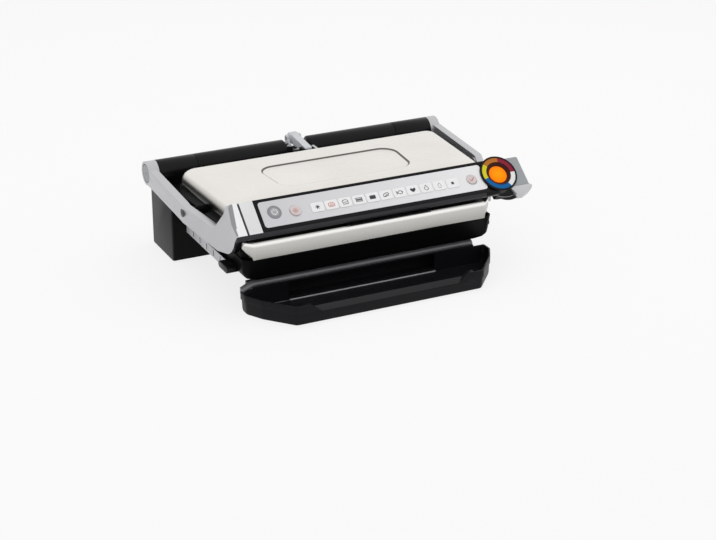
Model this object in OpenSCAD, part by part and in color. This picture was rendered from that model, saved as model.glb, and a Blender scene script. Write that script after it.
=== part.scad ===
// Electric indoor grill with a hinged lid: a base with a ribbed plate and rear housing,
// a handle frame that carries a floating lid, and a drip tray that slides in at the front.
// Working axes: X to the right, Y to the back, Z up, table at z = 0, and y = 0 at the
// middle of the plates. The last lines move the whole to the middle of its footprint.

/* [Hinge] */
// Distance of the hinge axis behind the middle of the plates
hinge_y = 164; // [158:1:172]
// Height of the hinge axis above the table
hinge_z = 142; // [138:1:146]
// Radius of the hinge tubes and hubs
tube_r = 19.7; // [17:0.1:21]
// Radius of the steel shaft through the hinge
shaft_r = 7; // [5:0.5:8]
// Distance from the middle to the inner end of each turning tube
tube_inner_x = 20; // [16:1:24]
// Distance from the middle to the joint between turning tube and fixed boss
tube_seam_x = 180; // [170:1:190]
// Running clearance round a shaft or pin
run_gap = 0.08; // [0.03:0.01:0.1]
// Side clearance between turning parts
side_gap = 0.4; // [0.3:0.1:0.8]

/* [Arms] */
// Distance from the middle to the outer face of the arms, behind the bend
arm_x = 264; // [260:1:270]
// Distance from the middle to the outer face of the arms at their front end
arm_front_x = 228; // [225:1:232]
// Thickness of the arm blade
arm_t = 13; // [10:1:14]
// Thickness of the round hub of an arm
hub_t = 17; // [15:0.5:18]
// Height of the arm band where it leaves the hub
arm_h = 27; // [22:1:32]
// Radius of the pins that carry the lid
pin_r = 5; // [4:0.5:6]
// Height of the lid pins above the table
pin_z = 131.7; // [129:0.1:134]
// Distance of the lid pins behind the middle of the plates
pin_y = 1.4; // [-4:0.1:6]

/* [Handle and control panel] */
// Slope of the control panel
panel_tilt = 40.3; // [36:0.1:44]
// Length of the silver panel plate down the slope
panel_len = 44.4; // [42:0.1:46]
// Left end of the silver panel plate
panel_x0 = -179; // [-180:1:-178]
// Right end of the silver panel plate
panel_x1 = 204; // [203:1:206]
// Thickness of the panel plate
panel_t = 1.2; // [0.8:0.1:1.6]
// Width of a mode key
key_w = 21.4; // [20:0.1:21.6]
// Height of a mode key down the slope
key_h = 16; // [14:0.5:17]
// Spacing of the mode keys
key_pitch = 23.4; // [23.3:0.1:23.8]
// Middle of the first mode key
key_x0 = -87; // [-90:0.5:-86]
// Distance of the keys' middle below the panel's top edge
key_drop = 24.5; // [23:0.5:25]
// Radius of the power button
power_r = 11; // [10:0.5:11.5]
// Radius of the frozen-food button
frost_r = 9.5; // [8:0.5:10]
// Radius of the confirm button
confirm_r = 9; // [8:0.5:10]
// How far a button stands out of the panel
key_proud = 0.8; // [0.5:0.1:1]
// How far a button travels
key_travel = 0.9; // [0.6:0.1:1]
// Outer radius of the indicator dial
dial_r = 31.5; // [30.5:0.1:32]
// Width of the black rim round the coloured ring of the dial
dial_rim = 3; // [2.4:0.1:3.6]
// Width of the coloured ring of the dial
ring_w = 7.6; // [6.5:0.1:8.5]
// Width of the sloped collar between the coloured ring and the lens
collar_w = 4.6; // [3.5:0.1:5.5]
// Middle of the dial along the handle
dial_x = 231; // [230:0.5:233]

/* [Lid] */
// Half width of the lid cover at its rear edge
cover_rear_x = 230; // [227:1:232]
// Half width of the lid cover at its front edge
cover_front_x = 221; // [217:1:222]
// Rear edge of the lid
lid_rear_y = 108; // [106:1:112]
// Front edge of the lid cover
cover_front_y = -80; // [-82:1:-76]
// Height of the top of the lid cover
cover_z = 166; // [164:0.5:168]
// Radius of the rolled edge of the lid cover
cover_roll = 20; // [14:1:22]
// Sheet thickness of the lid cover
sheet_t = 1.2; // [1:0.1:1.6]
// Height of the underside of the lid
lid_z = 124.5; // [124:0.1:126]
// Depth of the bare badge field pressed into the lid cover
badge_deep = 2; // [1.2:0.1:2.6]

/* [Cooking plates] */
// Half width of the cooking plates
plate_x = 200; // [195:1:202]
// Half depth of the cooking plates
plate_y = 100; // [96:1:102]
// Spacing of the cooking ribs
rib_pitch = 15; // [13:0.5:18]
// Height of the cooking ribs
rib_h = 4.5; // [3:0.5:5.5]
// Floor thickness of a cooking plate
plate_t = 5; // [4:0.5:6]
// Half width of the lower plate's pouring lip at the front
lip_w = 72; // [60:1:80]
// Radius of the heating tubes
element_r = 3.4; // [3:0.1:4]

/* [Base] */
// Half width of the base below its stainless band
base_x = 213; // [211:0.5:213]
// Front face of the stainless band
band_y = -128.8; // [-130:0.1:-127]
// Top of the stainless band
band_top = 117.8; // [117:0.1:118]
// Height of the stainless band
band_h = 27.5; // [24:0.5:30]
// Thickness of the stainless band
band_t = 1.6; // [1.4:0.1:2]
// Height of the flat underside of the base
base_bottom = 50.5; // [50:0.5:54]
// Half width of the flat underside of the base
base_foot_x = 199; // [196:1:201]
// How far the base's sides bulge out below the stainless band
base_bulge = 2.4; // [1:0.1:3]
// Wall of the base housing
base_wall = 3; // [2.5:0.1:4]
// Half width of the rear housing
rear_x = 241; // [238:1:243]
// Front face of the rear housing
rear_front_y = 115; // [114:0.5:116]
// Back face of the rear housing
rear_back_y = 218; // [214:1:222]
// Distance from the middle to the front legs
leg_x = 150; // [140:1:160]
// Position of the front legs
leg_y = -60; // [-62:1:-56]
// Radius of the rubber feet
foot_r = 9; // [8:0.5:10]
// How far the rubber feet stand out
foot_h = 2.5; // [2:0.1:3]
// Outer face of the side vent strips
vent_x = 217; // [216.5:0.5:218]
// Height of the side vent strips
vent_h = 16; // [14:1:18]
// Travel of the plate release buttons
catch_travel = 3; // [2:0.5:3.5]

/* [Drip tray] */
// Half width of the drip tray at its widest
tray_x = 214; // [210:1:216]
// Half width of the drip tray's front edge
tray_nose_x = 161; // [156:1:166]
// Front face of the drip tray
tray_front_y = -196; // [-200:1:-190]
// Front face of the covered rear part of the tray
tray_hood_y = -103; // [-108:1:-100]
// Height of the drip tray at the rear
tray_h = 35; // [32:0.5:36]
// Wall of the drip tray
tray_wall = 2.4; // [2:0.1:3]
// Half width of the opening into the covered rear part
tray_mouth_x = 128; // [115:1:135]
// Height of the sill below that opening
tray_sill_z = 7.4; // [5:0.2:8]

/* [Hidden] */
$fn = 48;

seat = 0.05;                          // clearance between fixed round parts
slack = 0.3;                          // clearance between parts that move past each other
hub_in = arm_x - hub_t;               // inner face of the hubs
boss_out = hub_in - side_gap;         // outer face of the fixed hinge bosses
bend_y = 0;                           // the arms bend inwards in front of this line
arm_low_z = pin_z - 14.5;             // underside of the arm band at the bend
front_end_y = -110;                   // where arm_front_x is measured
// panel frame: origin at the middle of the panel's top edge, u to the right, v up the slope
panel_y = -95.1;
panel_z = 167.6;
border = 5.2;                         // black border round the panel plate
shell_x0 = panel_x0 - border - 1;     // left end of the black shell
trim_w = 22;                          // width of the silver segment left of the shell
shell_x1 = trim_w - shell_x0;         // right end of the shell, as far out as the trim's left end
groove_w = 3.4;                       // width of the groove between the left arm and that segment
nose_y = -135.6;                      // foremost line of the handle
handle_low = 124.2;                   // underside of the handle
handle_back_y = panel_y + 11.1;       // back of the handle
grip_t = panel_len + 6.5;             // the soft grip starts this far down the slope
grip_back_y = nose_y + 19.6;          // and it ends here on the underside
grip_end = shell_x1 - 9;              // right end of the soft grip's seat
board_n = -9;                         // height of the control board in the panel frame
board_t = 1.6;
button_low = board_n + 1.6;           // lowest point of a button's stem when pressed
flange = 0.9;                         // collar that keeps a button in its hole
flange_n = -panel_t - slack;          // top of that collar
dial_drop = 22.3;                     // distance of the dial's middle below the top edge
ring_r = dial_r - dial_rim;           // outer radius of the coloured ring
ring_in_r = ring_r - ring_w;
lens_r = ring_in_r - collar_w;
dial_proud = 3;
disc_deep = 8;                        // thickness of the dial below the panel plane
dial_deep = 30;                       // the cup's lower part reaches this deep
foot_off = 15.6;                      // the cup's foot stands this far right of the dial's middle
foot_drop = 30.5;                     // and this far below the panel's top edge
foot_deep = 22;
lens_deep = 4.4;
skirt_x = arm_front_x - arm_t + 7.3;  // that part starts here, clear of lid and base
shell_end = skirt_x - 0.3;            // right end of the black shell

keys = 11;
power_x = panel_x0 + 22;   power_drop = 20.3;
frost_x = key_x0 - 36.5;   frost_drop = 24;
confirm_x = key_x0 + (keys - 1) * key_pitch + 35;
confirm_drop = 24;

lid_front_y = -98;                    // front edge of the lid frame
frame_rear_x = cover_rear_x + 3;      // half width of the lid frame at the rear
frame_front_x = cover_front_x - 5;    // the arms close in towards the front
frame_top = cover_z - cover_roll;     // where the cover's rolled edge starts
skirt_z = frame_top - 6;              // lower edge of the cover's skirt
pin_boss = 2.5;                       // boss round the lid pin on the arm's inner face
lug_x = arm_x - arm_t - pin_boss - side_gap;  // outer face of the lid's pivot lugs

upper_face = lid_z + rib_h + 1;       // floor of the upper plate, ribs point down
plate_top = 120.6;                    // rim of the lower plate
lower_floor = plate_top - rib_h - 1.6; // top of the lower plate's floor
base_top = 116.6;                     // top of the base housing's wall
band_corner = 16;                     // how far the front corners of band and base are cut back
boss_web = 17;                        // half width of the web below a hinge boss
block_top = hinge_z - tube_r - 1.2;   // top of the rear housing
block_bottom = foot_h;
leg_flare = 0.08;                     // how fast the front legs widen upwards

// where the link arm turns, on ears between the tubes, and where it holds the lid
link_y = hinge_y + 9;
link_z = hinge_z + 18.5;
link_end_y = lid_rear_y + 7;
link_end_z = link_z - 2;
link_w = 12.6;
link_head_w = 17;
link_pin_r = 3;
link_end_r = 2;                       // pin at the lid, in a slot of the link arm
link_slot = 2;                        // how far that pin can slide each way
ear_t = 4;                            // thickness of the ears beside the link arm
ear_in = link_head_w / 2 + slack;     // inner face of those ears

// screws, foot pegs and cord hole of the rear housing
screw_x = [-180, -60, 60, 180];
screw_in = 7;                         // screws stand this far inside the housing's faces
screw_r = 1.6;
screw_head = 3.2;
cover_t = 2;                          // thickness of the bottom cover
rear_wall = 3;
gland_x = -150;
gland_z = 30;
gland_r = 8;
rear_foot_x = 205;
rear_foot_y = 190;
peg_r = 3.4;                          // peg of a rear foot in the bottom cover

// side strips and plate release buttons
catch_y = -74;
catch_z = 63.5;
catch_high = 5.2;                      // half height of a button
catch_long = 18.5;                    // half length of a button
catch_stem_r = 2.4;
catch_out = vent_x + 12;              // outer face of a button
catch_block_x = base_foot_x - 3;      // inner face of the block that guides a button
catch_seat_x = catch_block_x + 7;     // bottom of the pocket that a button slides in
catch_cap = catch_out - catch_seat_x - catch_travel - slack;   // length of a button's body
catch_well = 8;                       // depth of the hollow behind it, for the spring
catch_well_r = 4.2;
vent_y0 = catch_y + catch_long + 1;
vent_y1 = rear_front_y - 0.4;
vent_in = 10;                         // how far a vent strip reaches in from its face
vent_z = base_bottom;

// heating parts
end_x = 60;                           // the heating tube's ends leave at this distance
sensor_r = 9;
reflector_deep = 9;
reflector_post_x = 120;
reflector_z = lower_floor - plate_t - element_r - 0.4;  // top of the lower reflector
upper_front = -plate_y + 12;          // front edge of the upper plate
upper_low = lid_z + 0.6;              // lowest face of the upper plate

tray_band_z = 20;                     // lower edge of the tray's rim band
finger_z = 17;                        // lower edge of the tray's sloped finger sheet

// overall footprint, used to put the origin at its middle
cap_tip_x = dial_x + 53;
mid_x = (cap_tip_x - arm_x) / 2;
mid_y = (rear_back_y + tray_front_y) / 2;

// ---- helpers ----

// points of the arc that rounds corner b of the corner a-b-c with radius r
function corner(a, b, c, r, n) =
    let (u = (a - b) / norm(a - b), v = (c - b) / norm(c - b),
         half = acos(max(-1, min(1, u * v))) / 2,
         m = b + (u + v) / norm(u + v) * r / sin(half),
         p = b + u * r / tan(half), q = b + v * r / tan(half),
         a0 = atan2(p.y - m.y, p.x - m.x), a1 = atan2(q.y - m.y, q.x - m.x),
         turn = a1 - a0 > 180 ? a1 - a0 - 360 : a1 - a0 < -180 ? a1 - a0 + 360 : a1 - a0)
    [for (i = [0 : n]) m + r * [cos(a0 + turn * i / n), sin(a0 + turn * i / n)]];

// outline p with every corner rounded: r is one radius or a list with one per corner
function rounded(p, r, n = 5) =
    let (k = len(p))
    [for (i = [0 : k - 1])
        let (ri = is_list(r) ? r[i] : r)
        each (ri == 0 ? [p[i]] : corner(p[(i + k - 1) % k], p[i], p[(i + 1) % k], ri, n))];

function box_points(x0, y0, x1, y1) = [[x0, y0], [x1, y0], [x1, y1], [x0, y1]];

// a YZ outline extruded along X between two stations
module along_x(x0, x1) {
    translate([x0, 0, 0]) rotate([90, 0, 90]) linear_extrude(x1 - x0) children();
}

// cylinder along X between two stations at (y, z)
module rod_x(x0, x1, y, z, r) {
    translate([x0, y, z]) rotate([0, 90, 0]) cylinder(r = r, h = x1 - x0);
}

module both_sides() {
    children();
    mirror([1, 0, 0]) children();
}

// children drawn in the panel frame, at x along the handle and t down the slope
module on_panel(x = 0, t = 0) {
    translate([0, panel_y, panel_z]) rotate([panel_tilt, 0, 0]) translate([x, -t, 0]) children();
}

// a slab between two heights above the panel plane, children give its outline
module panel_slab(n0, n1) {
    translate([0, 0, n0]) linear_extrude(n1 - n0) children();
}

// ---- base ----

// plan of the base: front corners cut back by c
function base_outline(x, y0, y1, c) =
    let (near = min(6, c * 0.7), side = min(10, c * 0.8))
    rounded([[-x + c, y0], [x - c, y0], [x, y0 + c], [x, y1], [-x, y1], [-x, y0 + c]],
            [near, near, side, 5, 5, side], 4);

// body of the base: sides that roll under below, upright behind the stainless band
module base_form(inset, z_low, z_top) {
    rim_z = band_top - band_h - 0.6;
    front = band_y + band_t + seat;
    wide = base_x + base_bulge;
    // height above the underside, half width, shift to the right, front face, corner
    slices = [[0, base_foot_x, 0, -114.5, 9], [2.4, base_foot_x + 8, 3, -116.5, 8],
              [6.5, base_foot_x + 12, 3, -118, 7], [14, wide - 2, 1.6, -119.5, 7],
              [rim_z - base_bottom - 0.4, wide, 0, front, 9]];
    hull() for (q = slices)
        translate([q[2], 0, z_low + q[0] * (rim_z - z_low) / (rim_z - base_bottom)])
            linear_extrude(0.4) polygon(base_outline(q[1] - inset, q[3] + inset,
                                                     rear_front_y - inset, q[4] - inset * 0.6));
    translate([0, 0, rim_z - 3]) linear_extrude(z_top - rim_z + 3)
        polygon(base_outline(base_x - inset, front + inset, rear_front_y - inset,
                             band_corner - inset * 0.6));
}

// radius of a front leg at height z
function leg_r(z) = foot_r + 3 + leg_flare * (z - foot_h);

module base_housing() {
    ledge = 4;
    color([0.05, 0.05, 0.055]) {
        difference() {
            union() {
                difference() {
                    base_form(0, base_bottom, base_top);
                    // the well for plate, element and reflector
                    base_form(base_wall, base_bottom + base_wall, base_top + 1);
                }
                // ledge that carries the plate
                difference() {
                    translate([0, 0, lower_floor - plate_t - ledge]) linear_extrude(ledge)
                        polygon(base_outline(base_x - base_wall + 1,
                                             band_y + band_t + base_wall - 1,
                                             rear_front_y - base_wall + 1,
                                             band_corner - 1));
                    translate([-plate_x + 4, -plate_y + 4, 60])
                        cube([2 * plate_x - 8, 2 * plate_y - 8, 80]);
                }
                // posts that carry the reflector
                for (x = [-reflector_post_x, reflector_post_x], y = [-62, 62])
                    translate([x, y, base_bottom + 1])
                        cylinder(r = 5, h = reflector_z - reflector_deep - base_bottom - 1);
                // blocks that guide the release buttons
                intersection() {
                    both_sides() translate([catch_block_x, catch_y - catch_long - 3, base_bottom])
                        cube([base_x - catch_block_x, 2 * catch_long + 6,
                              catch_z + catch_high + 3 - base_bottom]);
                    base_form(0.5, base_bottom + 0.5, base_top);
                }
            }
            // notches for the heating tube's ends and the wiring at the back
            for (x = [-end_x, end_x])
                translate([x - 10, plate_y - 8, 92]) cube([20, rear_front_y - plate_y + 10, 18]);
            // pockets for the release buttons, with holes for their stems
            both_sides() {
                rod_x(catch_block_x - 1, catch_seat_x + 1, catch_y, catch_z, catch_stem_r + slack);
                catch_body(catch_seat_x, catch_out, slack);
            }
            // openings that the vent strips close
            both_sides() translate([vent_x - vent_in - seat, vent_y0 - seat, vent_z - 1])
                cube([20, vent_y1 - vent_y0 + 2 * seat, vent_h + 1 + seat]);
        }
        // front legs
        both_sides() translate([leg_x, leg_y, foot_h])
            cylinder(r1 = leg_r(foot_h), r2 = leg_r(base_bottom + 1), h = base_bottom + 1 - foot_h);
        // a rail below the front edge that stiffens the housing
        translate([0, -106, base_bottom - 3]) linear_extrude(4)
            polygon(rounded(box_points(-base_foot_x + 12, 0, base_foot_x - 12, 5), 2, 3));
    }
}

module front_band() {
    crown = 1.2;                       // how far the band bulges at mid height
    side_y = -104;                     // the band ends on the sides here
    slices = [[0, 0.4, crown], [0.3 * band_h, 0.4 * band_h, 0], [band_h - 0.4, 0.4, crown]];
    color([0.72, 0.71, 0.68]) difference() {
        translate([0, 0, band_top - band_h]) hull() for (s = slices)
            translate([0, 0, s[0]]) linear_extrude(s[1])
                polygon(base_outline(base_x + band_t + seat - s[2], band_y + s[2],
                                     side_y, band_corner));
        translate([0, 0, base_bottom]) linear_extrude(100)
            polygon(base_outline(base_x + seat, band_y + band_t, side_y + 60, band_corner - band_t * 0.6));
    }
}

// side outline of the rear housing
function rear_profile(inset) =
    rounded([[rear_front_y + inset, block_bottom], [rear_back_y - inset, block_bottom],
             [rear_back_y - inset, 96 - inset], [rear_back_y - 16 - inset, block_top - inset],
             [rear_front_y + 6 + inset, block_top - inset], [rear_front_y + inset, base_top - 4 - inset]],
            [0, 0, 10, 6, 5, 3], 4);

module rear_housing() {
    color([0.06, 0.06, 0.065]) {
        // bosses for the screws of the bottom cover
        difference() {
            at_screws() translate([0, 0, block_bottom + cover_t + seat])
                cylinder(r = screw_in - rear_wall + 0.5, h = 22);
            at_screws() cylinder(r = screw_r + seat, h = 20);
        }
        difference() {
            union() {
                intersection() {
                    along_x(-rear_x, rear_x) polygon(rear_profile(0));
                    linear_extrude(200)
                        polygon(rounded(box_points(-rear_x, rear_front_y, rear_x, rear_back_y),
                                        [4, 4, 12, 12], 5));
                }
                both_sides() {
                    rod_x(tube_seam_x + side_gap, boss_out, hinge_y, hinge_z, tube_r);
                    along_x(tube_seam_x + side_gap, boss_out)
                        polygon(box_points(hinge_y - boss_web, block_top - 8,
                                           hinge_y + boss_web, hinge_z));
                }
            }
            // hollow for the electrics, open below
            along_x(-rear_x + rear_wall, rear_x - rear_wall) polygon(rear_hollow());
            // bore for the hinge shaft
            rod_x(-rear_x - 20, rear_x + 20, hinge_y, hinge_z, shaft_r + run_gap);
            // pocket that lets the link arm's head swing down when the lid is open
            translate([-ear_in - ear_t - 4, link_y - 8, block_top - 2.2])
                cube([2 * (ear_in + ear_t + 4), 32, 10]);
            // hole for the cord gland
            translate([gland_x, rear_back_y + 1, gland_z]) rotate([90, 0, 0])
                cylinder(r = gland_r, h = rear_wall + 2);
            // rows of cooling slots in the back
            for (x = [40 : 12 : 172])
                translate([x, rear_back_y - rear_wall - 1, 20]) cube([4, rear_wall + 2, 34]);
            // passage for the heating tube's ends
            for (x = [-end_x, end_x])
                translate([x - 10, rear_front_y - 1, 92]) cube([20, rear_wall + 2, 14]);
        }
    }
}

function rear_hollow() =
    let (front = rear_front_y + rear_wall, back = rear_back_y - rear_wall,
         top = block_top - rear_wall - 4)
    rounded([[front, -1], [back, -1], [back, 94], [back - 17, top], [front + 9, top], [front, 104]],
            [0, 0, 8, 4, 4, 3], 4);

module at_screws() {
    for (x = screw_x, y = [rear_front_y + screw_in, rear_back_y - screw_in])
        translate([x, y, 0]) children();
}

module bottom_cover() {
    gap = 0.3;
    t = cover_t;
    color([0.1, 0.1, 0.11]) difference() {
        translate([0, 0, block_bottom]) linear_extrude(t)
            polygon(box_points(-rear_x + rear_wall + gap, rear_front_y + rear_wall + gap,
                               rear_x - rear_wall - gap, rear_back_y - rear_wall - gap));
        for (x = [-120 : 16 : 120])
            translate([x - 2, 145, block_bottom - 1]) cube([4, 40, t + 2]);
        both_sides() translate([rear_foot_x, rear_foot_y, block_bottom - 1])
            cylinder(r = peg_r + seat, h = t + 2);
        at_screws() translate([0, 0, block_bottom - 1]) cylinder(r = screw_head + 0.2, h = t + 2);
    }
}

module feet() {
    color([0.12, 0.12, 0.12]) both_sides() {
        translate([leg_x, leg_y, 0]) cylinder(r1 = foot_r - 0.8, r2 = foot_r, h = foot_h);
        translate([rear_foot_x, rear_foot_y, 0]) {
            cylinder(r1 = foot_r - 0.8, r2 = foot_r, h = foot_h);
            cylinder(r = peg_r, h = foot_h + cover_t + 0.6);
        }
    }
}

module vent_strips() {
    slots = 5;
    slot_pitch = (vent_y1 - vent_y0) / (slots + 0.9);
    x0 = vent_x - vent_in;
    color([0.72, 0.72, 0.74]) both_sides() difference() {
        translate([0, 0, vent_z]) linear_extrude(vent_h)
            polygon(rounded(box_points(x0, vent_y0, vent_x, vent_y1), [0, 2.5, 2.5, 0], 4));
        // open behind the slots
        translate([x0 - 1, vent_y0 + 5, vent_z + 2.5])
            cube([vent_in - 1.6, vent_y1 - vent_y0 - 10, vent_h - 5]);
        for (i = [0 : slots - 1])
            translate([x0 - 1, vent_y0 + (i + 0.7) * slot_pitch, vent_z + 3])
                cube([vent_in + 2, 2.4, vent_h - 6]);
    }
}

// ---- plate release buttons ----

// body of a release button between two stations
module catch_body(x0, x1, grow) {
    h = catch_high + grow;
    l = catch_long + grow;
    translate([x0, catch_y, catch_z]) rotate([0, 90, 0]) linear_extrude(x1 - x0)
        polygon(rounded(box_points(-h, -l, h, l), catch_high - 0.5 + grow, 6));
}

module release_catch() {
    // oval push button on a round stem that reaches the plate's latch
    difference() {
        catch_body(catch_out - catch_cap, catch_out, 0);
        rod_x(catch_out - catch_cap - 1, catch_out - catch_cap + catch_well, catch_y, catch_z,
              catch_well_r);
    }
    rod_x(catch_block_x - 9, catch_out - 1, catch_y, catch_z, catch_stem_r);
    // tab inside the block, which keeps the button from coming out
    translate([catch_block_x - slack - 2, catch_y - 1.5, catch_z]) cube([2, 3, catch_stem_r + 4]);
}

module catch_left() { color([0.06, 0.06, 0.06]) mirror([1, 0, 0]) release_catch(); }
module catch_right() { color([0.06, 0.06, 0.06]) release_catch(); }

// return spring behind a button, one wire swept along a helix
module catch_spring() {
    wire = 0.5;
    turns = 5;
    mean_r = (catch_stem_r + catch_well_r) / 2;
    low = catch_seat_x + wire + 0.1;
    pitch = (catch_out - catch_cap + catch_well - wire - 0.1 - low) / turns;
    steps = 12 * turns;
    sides = 6;
    ring = [for (i = [0 : steps], k = [0 : sides - 1])
        let (a = 360 * i / 12, b = 360 * k / sides, r = mean_r + wire * cos(b))
        [low + pitch * i / 12 + wire * sin(b), catch_y + r * cos(a), catch_z + r * sin(a)]];
    walls = [for (i = [0 : steps - 1], k = [0 : sides - 1])
        let (m = (k + 1) % sides, p = i * sides, q = (i + 1) * sides)
        each [[p + k, p + m, q + m], [p + k, q + m, q + k]]];
    ends = [for (k = [1 : sides - 2])
        each [[0, k + 1, k], [steps * sides, steps * sides + k, steps * sides + k + 1]]];
    polyhedron(ring, concat(walls, ends));
}

module catch_spring_left() { color([0.6, 0.6, 0.62]) mirror([1, 0, 0]) catch_spring(); }
module catch_spring_right() { color([0.6, 0.6, 0.62]) catch_spring(); }

module cord_gland() {
    color([0.12, 0.12, 0.12]) translate([gland_x, rear_back_y - 4.5, gland_z]) rotate([-90, 0, 0])
        rotate_extrude()
            polygon([[4, 0], [gland_r + 2, 0], [gland_r + 2, 1.4], [gland_r - seat, 1.5],
                     [gland_r - seat, 4.4], [7, 4.5], [4, 4.5]]);
}

module power_board() {
    x = -130;                          // rear housing's board: corner and size
    y = rear_front_y + 15;
    z = 70;
    w = 200;
    d = 60;
    t = 1.6;
    post = block_bottom + cover_t;     // the board's posts stand on the bottom cover
    color([0.1, 0.3, 0.16]) translate([x, y, z]) cube([w, d, t]);
    color([0.15, 0.15, 0.15]) {
        translate([x + 10, y + 6, z + t]) cube([26, 30, 18]);
        translate([x + 70, y + 10, z + t]) cube([18, 24, 16]);
        translate([x + w - 70, y + 10, z + t]) cylinder(r = 8, h = 22);
        for (q = [x + 10, x + w - 10]) translate([q, y + d / 2, post]) cylinder(r = 4, h = z - post);
    }
}

module plate_ribs(z0, up) {
    // rounded cooking ribs that run from front to back
    count = floor((plate_x - 12) / rib_pitch);
    w = 2.6;
    for (i = [-count : count])
        translate([i * rib_pitch, -plate_y + 10, z0]) rotate([-90, 0, 0])
            linear_extrude(2 * plate_y - 20)
                polygon([[-w, 0.1], [w, 0.1], [w * 0.55, -up * rib_h], [-w * 0.55, -up * rib_h]]);
}

module lower_plate() {
    rim_x = base_x - base_wall - 1;
    rim_y0 = band_y + base_wall + 3;
    rim_y1 = rear_front_y - base_wall - 1;
    lip_x = 28;
    color([0.13, 0.13, 0.14]) {
        difference() {
            union() {
                translate([0, 0, lower_floor - plate_t])
                    linear_extrude(plate_top - lower_floor + plate_t)
                        polygon(rounded(box_points(-plate_x, -plate_y, plate_x, plate_y), 12, 5));
                // flat rim that rests on the ledge
                translate([0, 0, lower_floor - plate_t]) linear_extrude(2.6)
                    polygon(base_outline(rim_x, rim_y0, rim_y1, band_corner));
                // pouring lip that carries the fat over the front edge
                translate([lip_x, 0, band_top + slack]) linear_extrude(plate_top - band_top - slack)
                    polygon([[-lip_w + 18, -plate_y + 6], [lip_w - 18, -plate_y + 6],
                             [lip_w, band_y - 3], [-lip_w, band_y - 3]]);
            }
            // basin
            translate([0, 0, lower_floor]) linear_extrude(40)
                polygon(rounded(box_points(-plate_x + 5, -plate_y + 5, plate_x - 5, plate_y - 5), 9, 5));
            // channel of the lip
            translate([lip_x, 0, band_top + slack + 1.2]) linear_extrude(20)
                polygon([[-lip_w + 21, -plate_y + 8], [lip_w - 21, -plate_y + 8],
                         [lip_w - 3, band_y - 4], [-lip_w + 3, band_y - 4]]);
            // groove where the heating tube lies
            element_path(lower_floor - plate_t, element_r + 0.2);
        }
        plate_ribs(lower_floor, 1);
    }
}

// one long loop of tube with its two ends leaving at the back
module element_path(z, r) {
    reach = plate_x - 40;
    bend = 45;
    front = -plate_y + 35;
    rear = front + 2 * bend;
    turn = 20;
    translate([0, 0, z]) {
        translate([-reach + bend, front, 0]) rotate([0, 90, 0])
            cylinder(r = r, h = 2 * (reach - bend));
        for (s = [-1, 1]) {
            translate([s * (reach - bend), front + bend, 0]) rotate([0, 0, s > 0 ? -90 : 90])
                rotate_extrude(angle = 180) translate([bend, 0]) circle(r = r, $fn = 16);
            translate([s > 0 ? end_x + turn : -(reach - bend), rear, 0]) rotate([0, 90, 0])
                cylinder(r = r, h = reach - bend - end_x - turn);
            translate([s * (end_x + turn), rear + turn, 0]) rotate([0, 0, s > 0 ? 180 : 270])
                rotate_extrude(angle = 90) translate([turn, 0]) circle(r = r, $fn = 16);
            translate([s * end_x, rear + turn, 0]) rotate([-90, 0, 0])
                cylinder(r = r, h = plate_y - rear - turn);
        }
    }
}

module lower_element() {
    color([0.35, 0.34, 0.33]) element_path(lower_floor - plate_t, element_r);
}

// shallow sheet tray behind a heating tube, open side down; its front edge is at y0
module reflector(y0) {
    w = plate_x - 14;
    d = plate_y - 12;
    sheet = 1;
    difference() {
        linear_extrude(reflector_deep) polygon(rounded(box_points(-w, y0, w, d), 10, 4));
        translate([0, 0, -sheet]) linear_extrude(reflector_deep)
            polygon(rounded(box_points(-w + sheet, y0 + sheet, w - sheet, d - sheet), 9, 4));
    }
}

module lower_reflector() {
    color([0.66, 0.66, 0.64]) difference() {
        translate([0, 0, reflector_z]) mirror([0, 0, 1]) reflector(-plate_y + 12);
        cylinder(r = sensor_r + slack, h = reflector_z);
    }
}

module plate_sensor() {
    // spring-loaded temperature sensor that touches the plate from below
    top = lower_floor - plate_t - slack;
    low = base_bottom + base_wall;
    color([0.75, 0.75, 0.73]) difference() {
        union() {
            translate([0, 0, top - 3]) cylinder(r = sensor_r, h = 3);
            translate([0, 0, low]) cylinder(r = 5, h = top - low - 2);
        }
        translate([0, 0, low - 1]) cylinder(r = 3, h = top - low - 4);
    }
}

module housing_screws() {
    // cross-head screws that hold the bottom cover
    head = 1.8;
    color([0.55, 0.55, 0.56]) at_screws() translate([0, 0, block_bottom + 0.1]) difference() {
        union() {
            cylinder(r = screw_head, h = head);
            cylinder(r = screw_r, h = 14);
        }
        for (a = [0, 90]) rotate([0, 0, a]) translate([-2, -0.4, -0.1]) cube([4, 0.8, 0.9]);
    }
}

// ---- handle frame ----

module hinge_shaft() {
    color([0.6, 0.6, 0.62]) rod_x(-arm_x + 4, arm_x - 4, hinge_y, hinge_z, shaft_r);
}

module hinge_tubes() {
    chamfer = 3;
    span = tube_seam_x - tube_inner_x;
    color([0.07, 0.07, 0.08]) both_sides() difference() {
        union() {
            translate([tube_inner_x, hinge_y, hinge_z]) rotate([0, 90, 0]) rotate_extrude()
                polygon([[0, 0], [tube_r - chamfer, 0], [tube_r, chamfer], [tube_r, span - 0.8],
                         [tube_r - 0.8, span], [0, span]]);
            // ear that carries the link arm's pin
            rod_x(ear_in, ear_in + ear_t, link_y, link_z, 6);
            along_x(ear_in, ear_in + ear_t)
                polygon([[hinge_y - 10, hinge_z + 4], [hinge_y + 14, hinge_z + 4],
                         [link_y + 6, link_z], [link_y - 6, link_z]]);
            rod_x(ear_in, tube_inner_x + 1, hinge_y, hinge_z, shaft_r + 5);
        }
        rod_x(-1, tube_seam_x + 1, hinge_y, hinge_z, shaft_r + seat);
        rod_x(-1, tube_inner_x, link_y, link_z, link_pin_r + seat);
    }
}

module link_axle() {
    reach = ear_in + ear_t;
    color([0.6, 0.6, 0.62]) rod_x(-reach, reach, link_y, link_z, link_pin_r);
}

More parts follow.
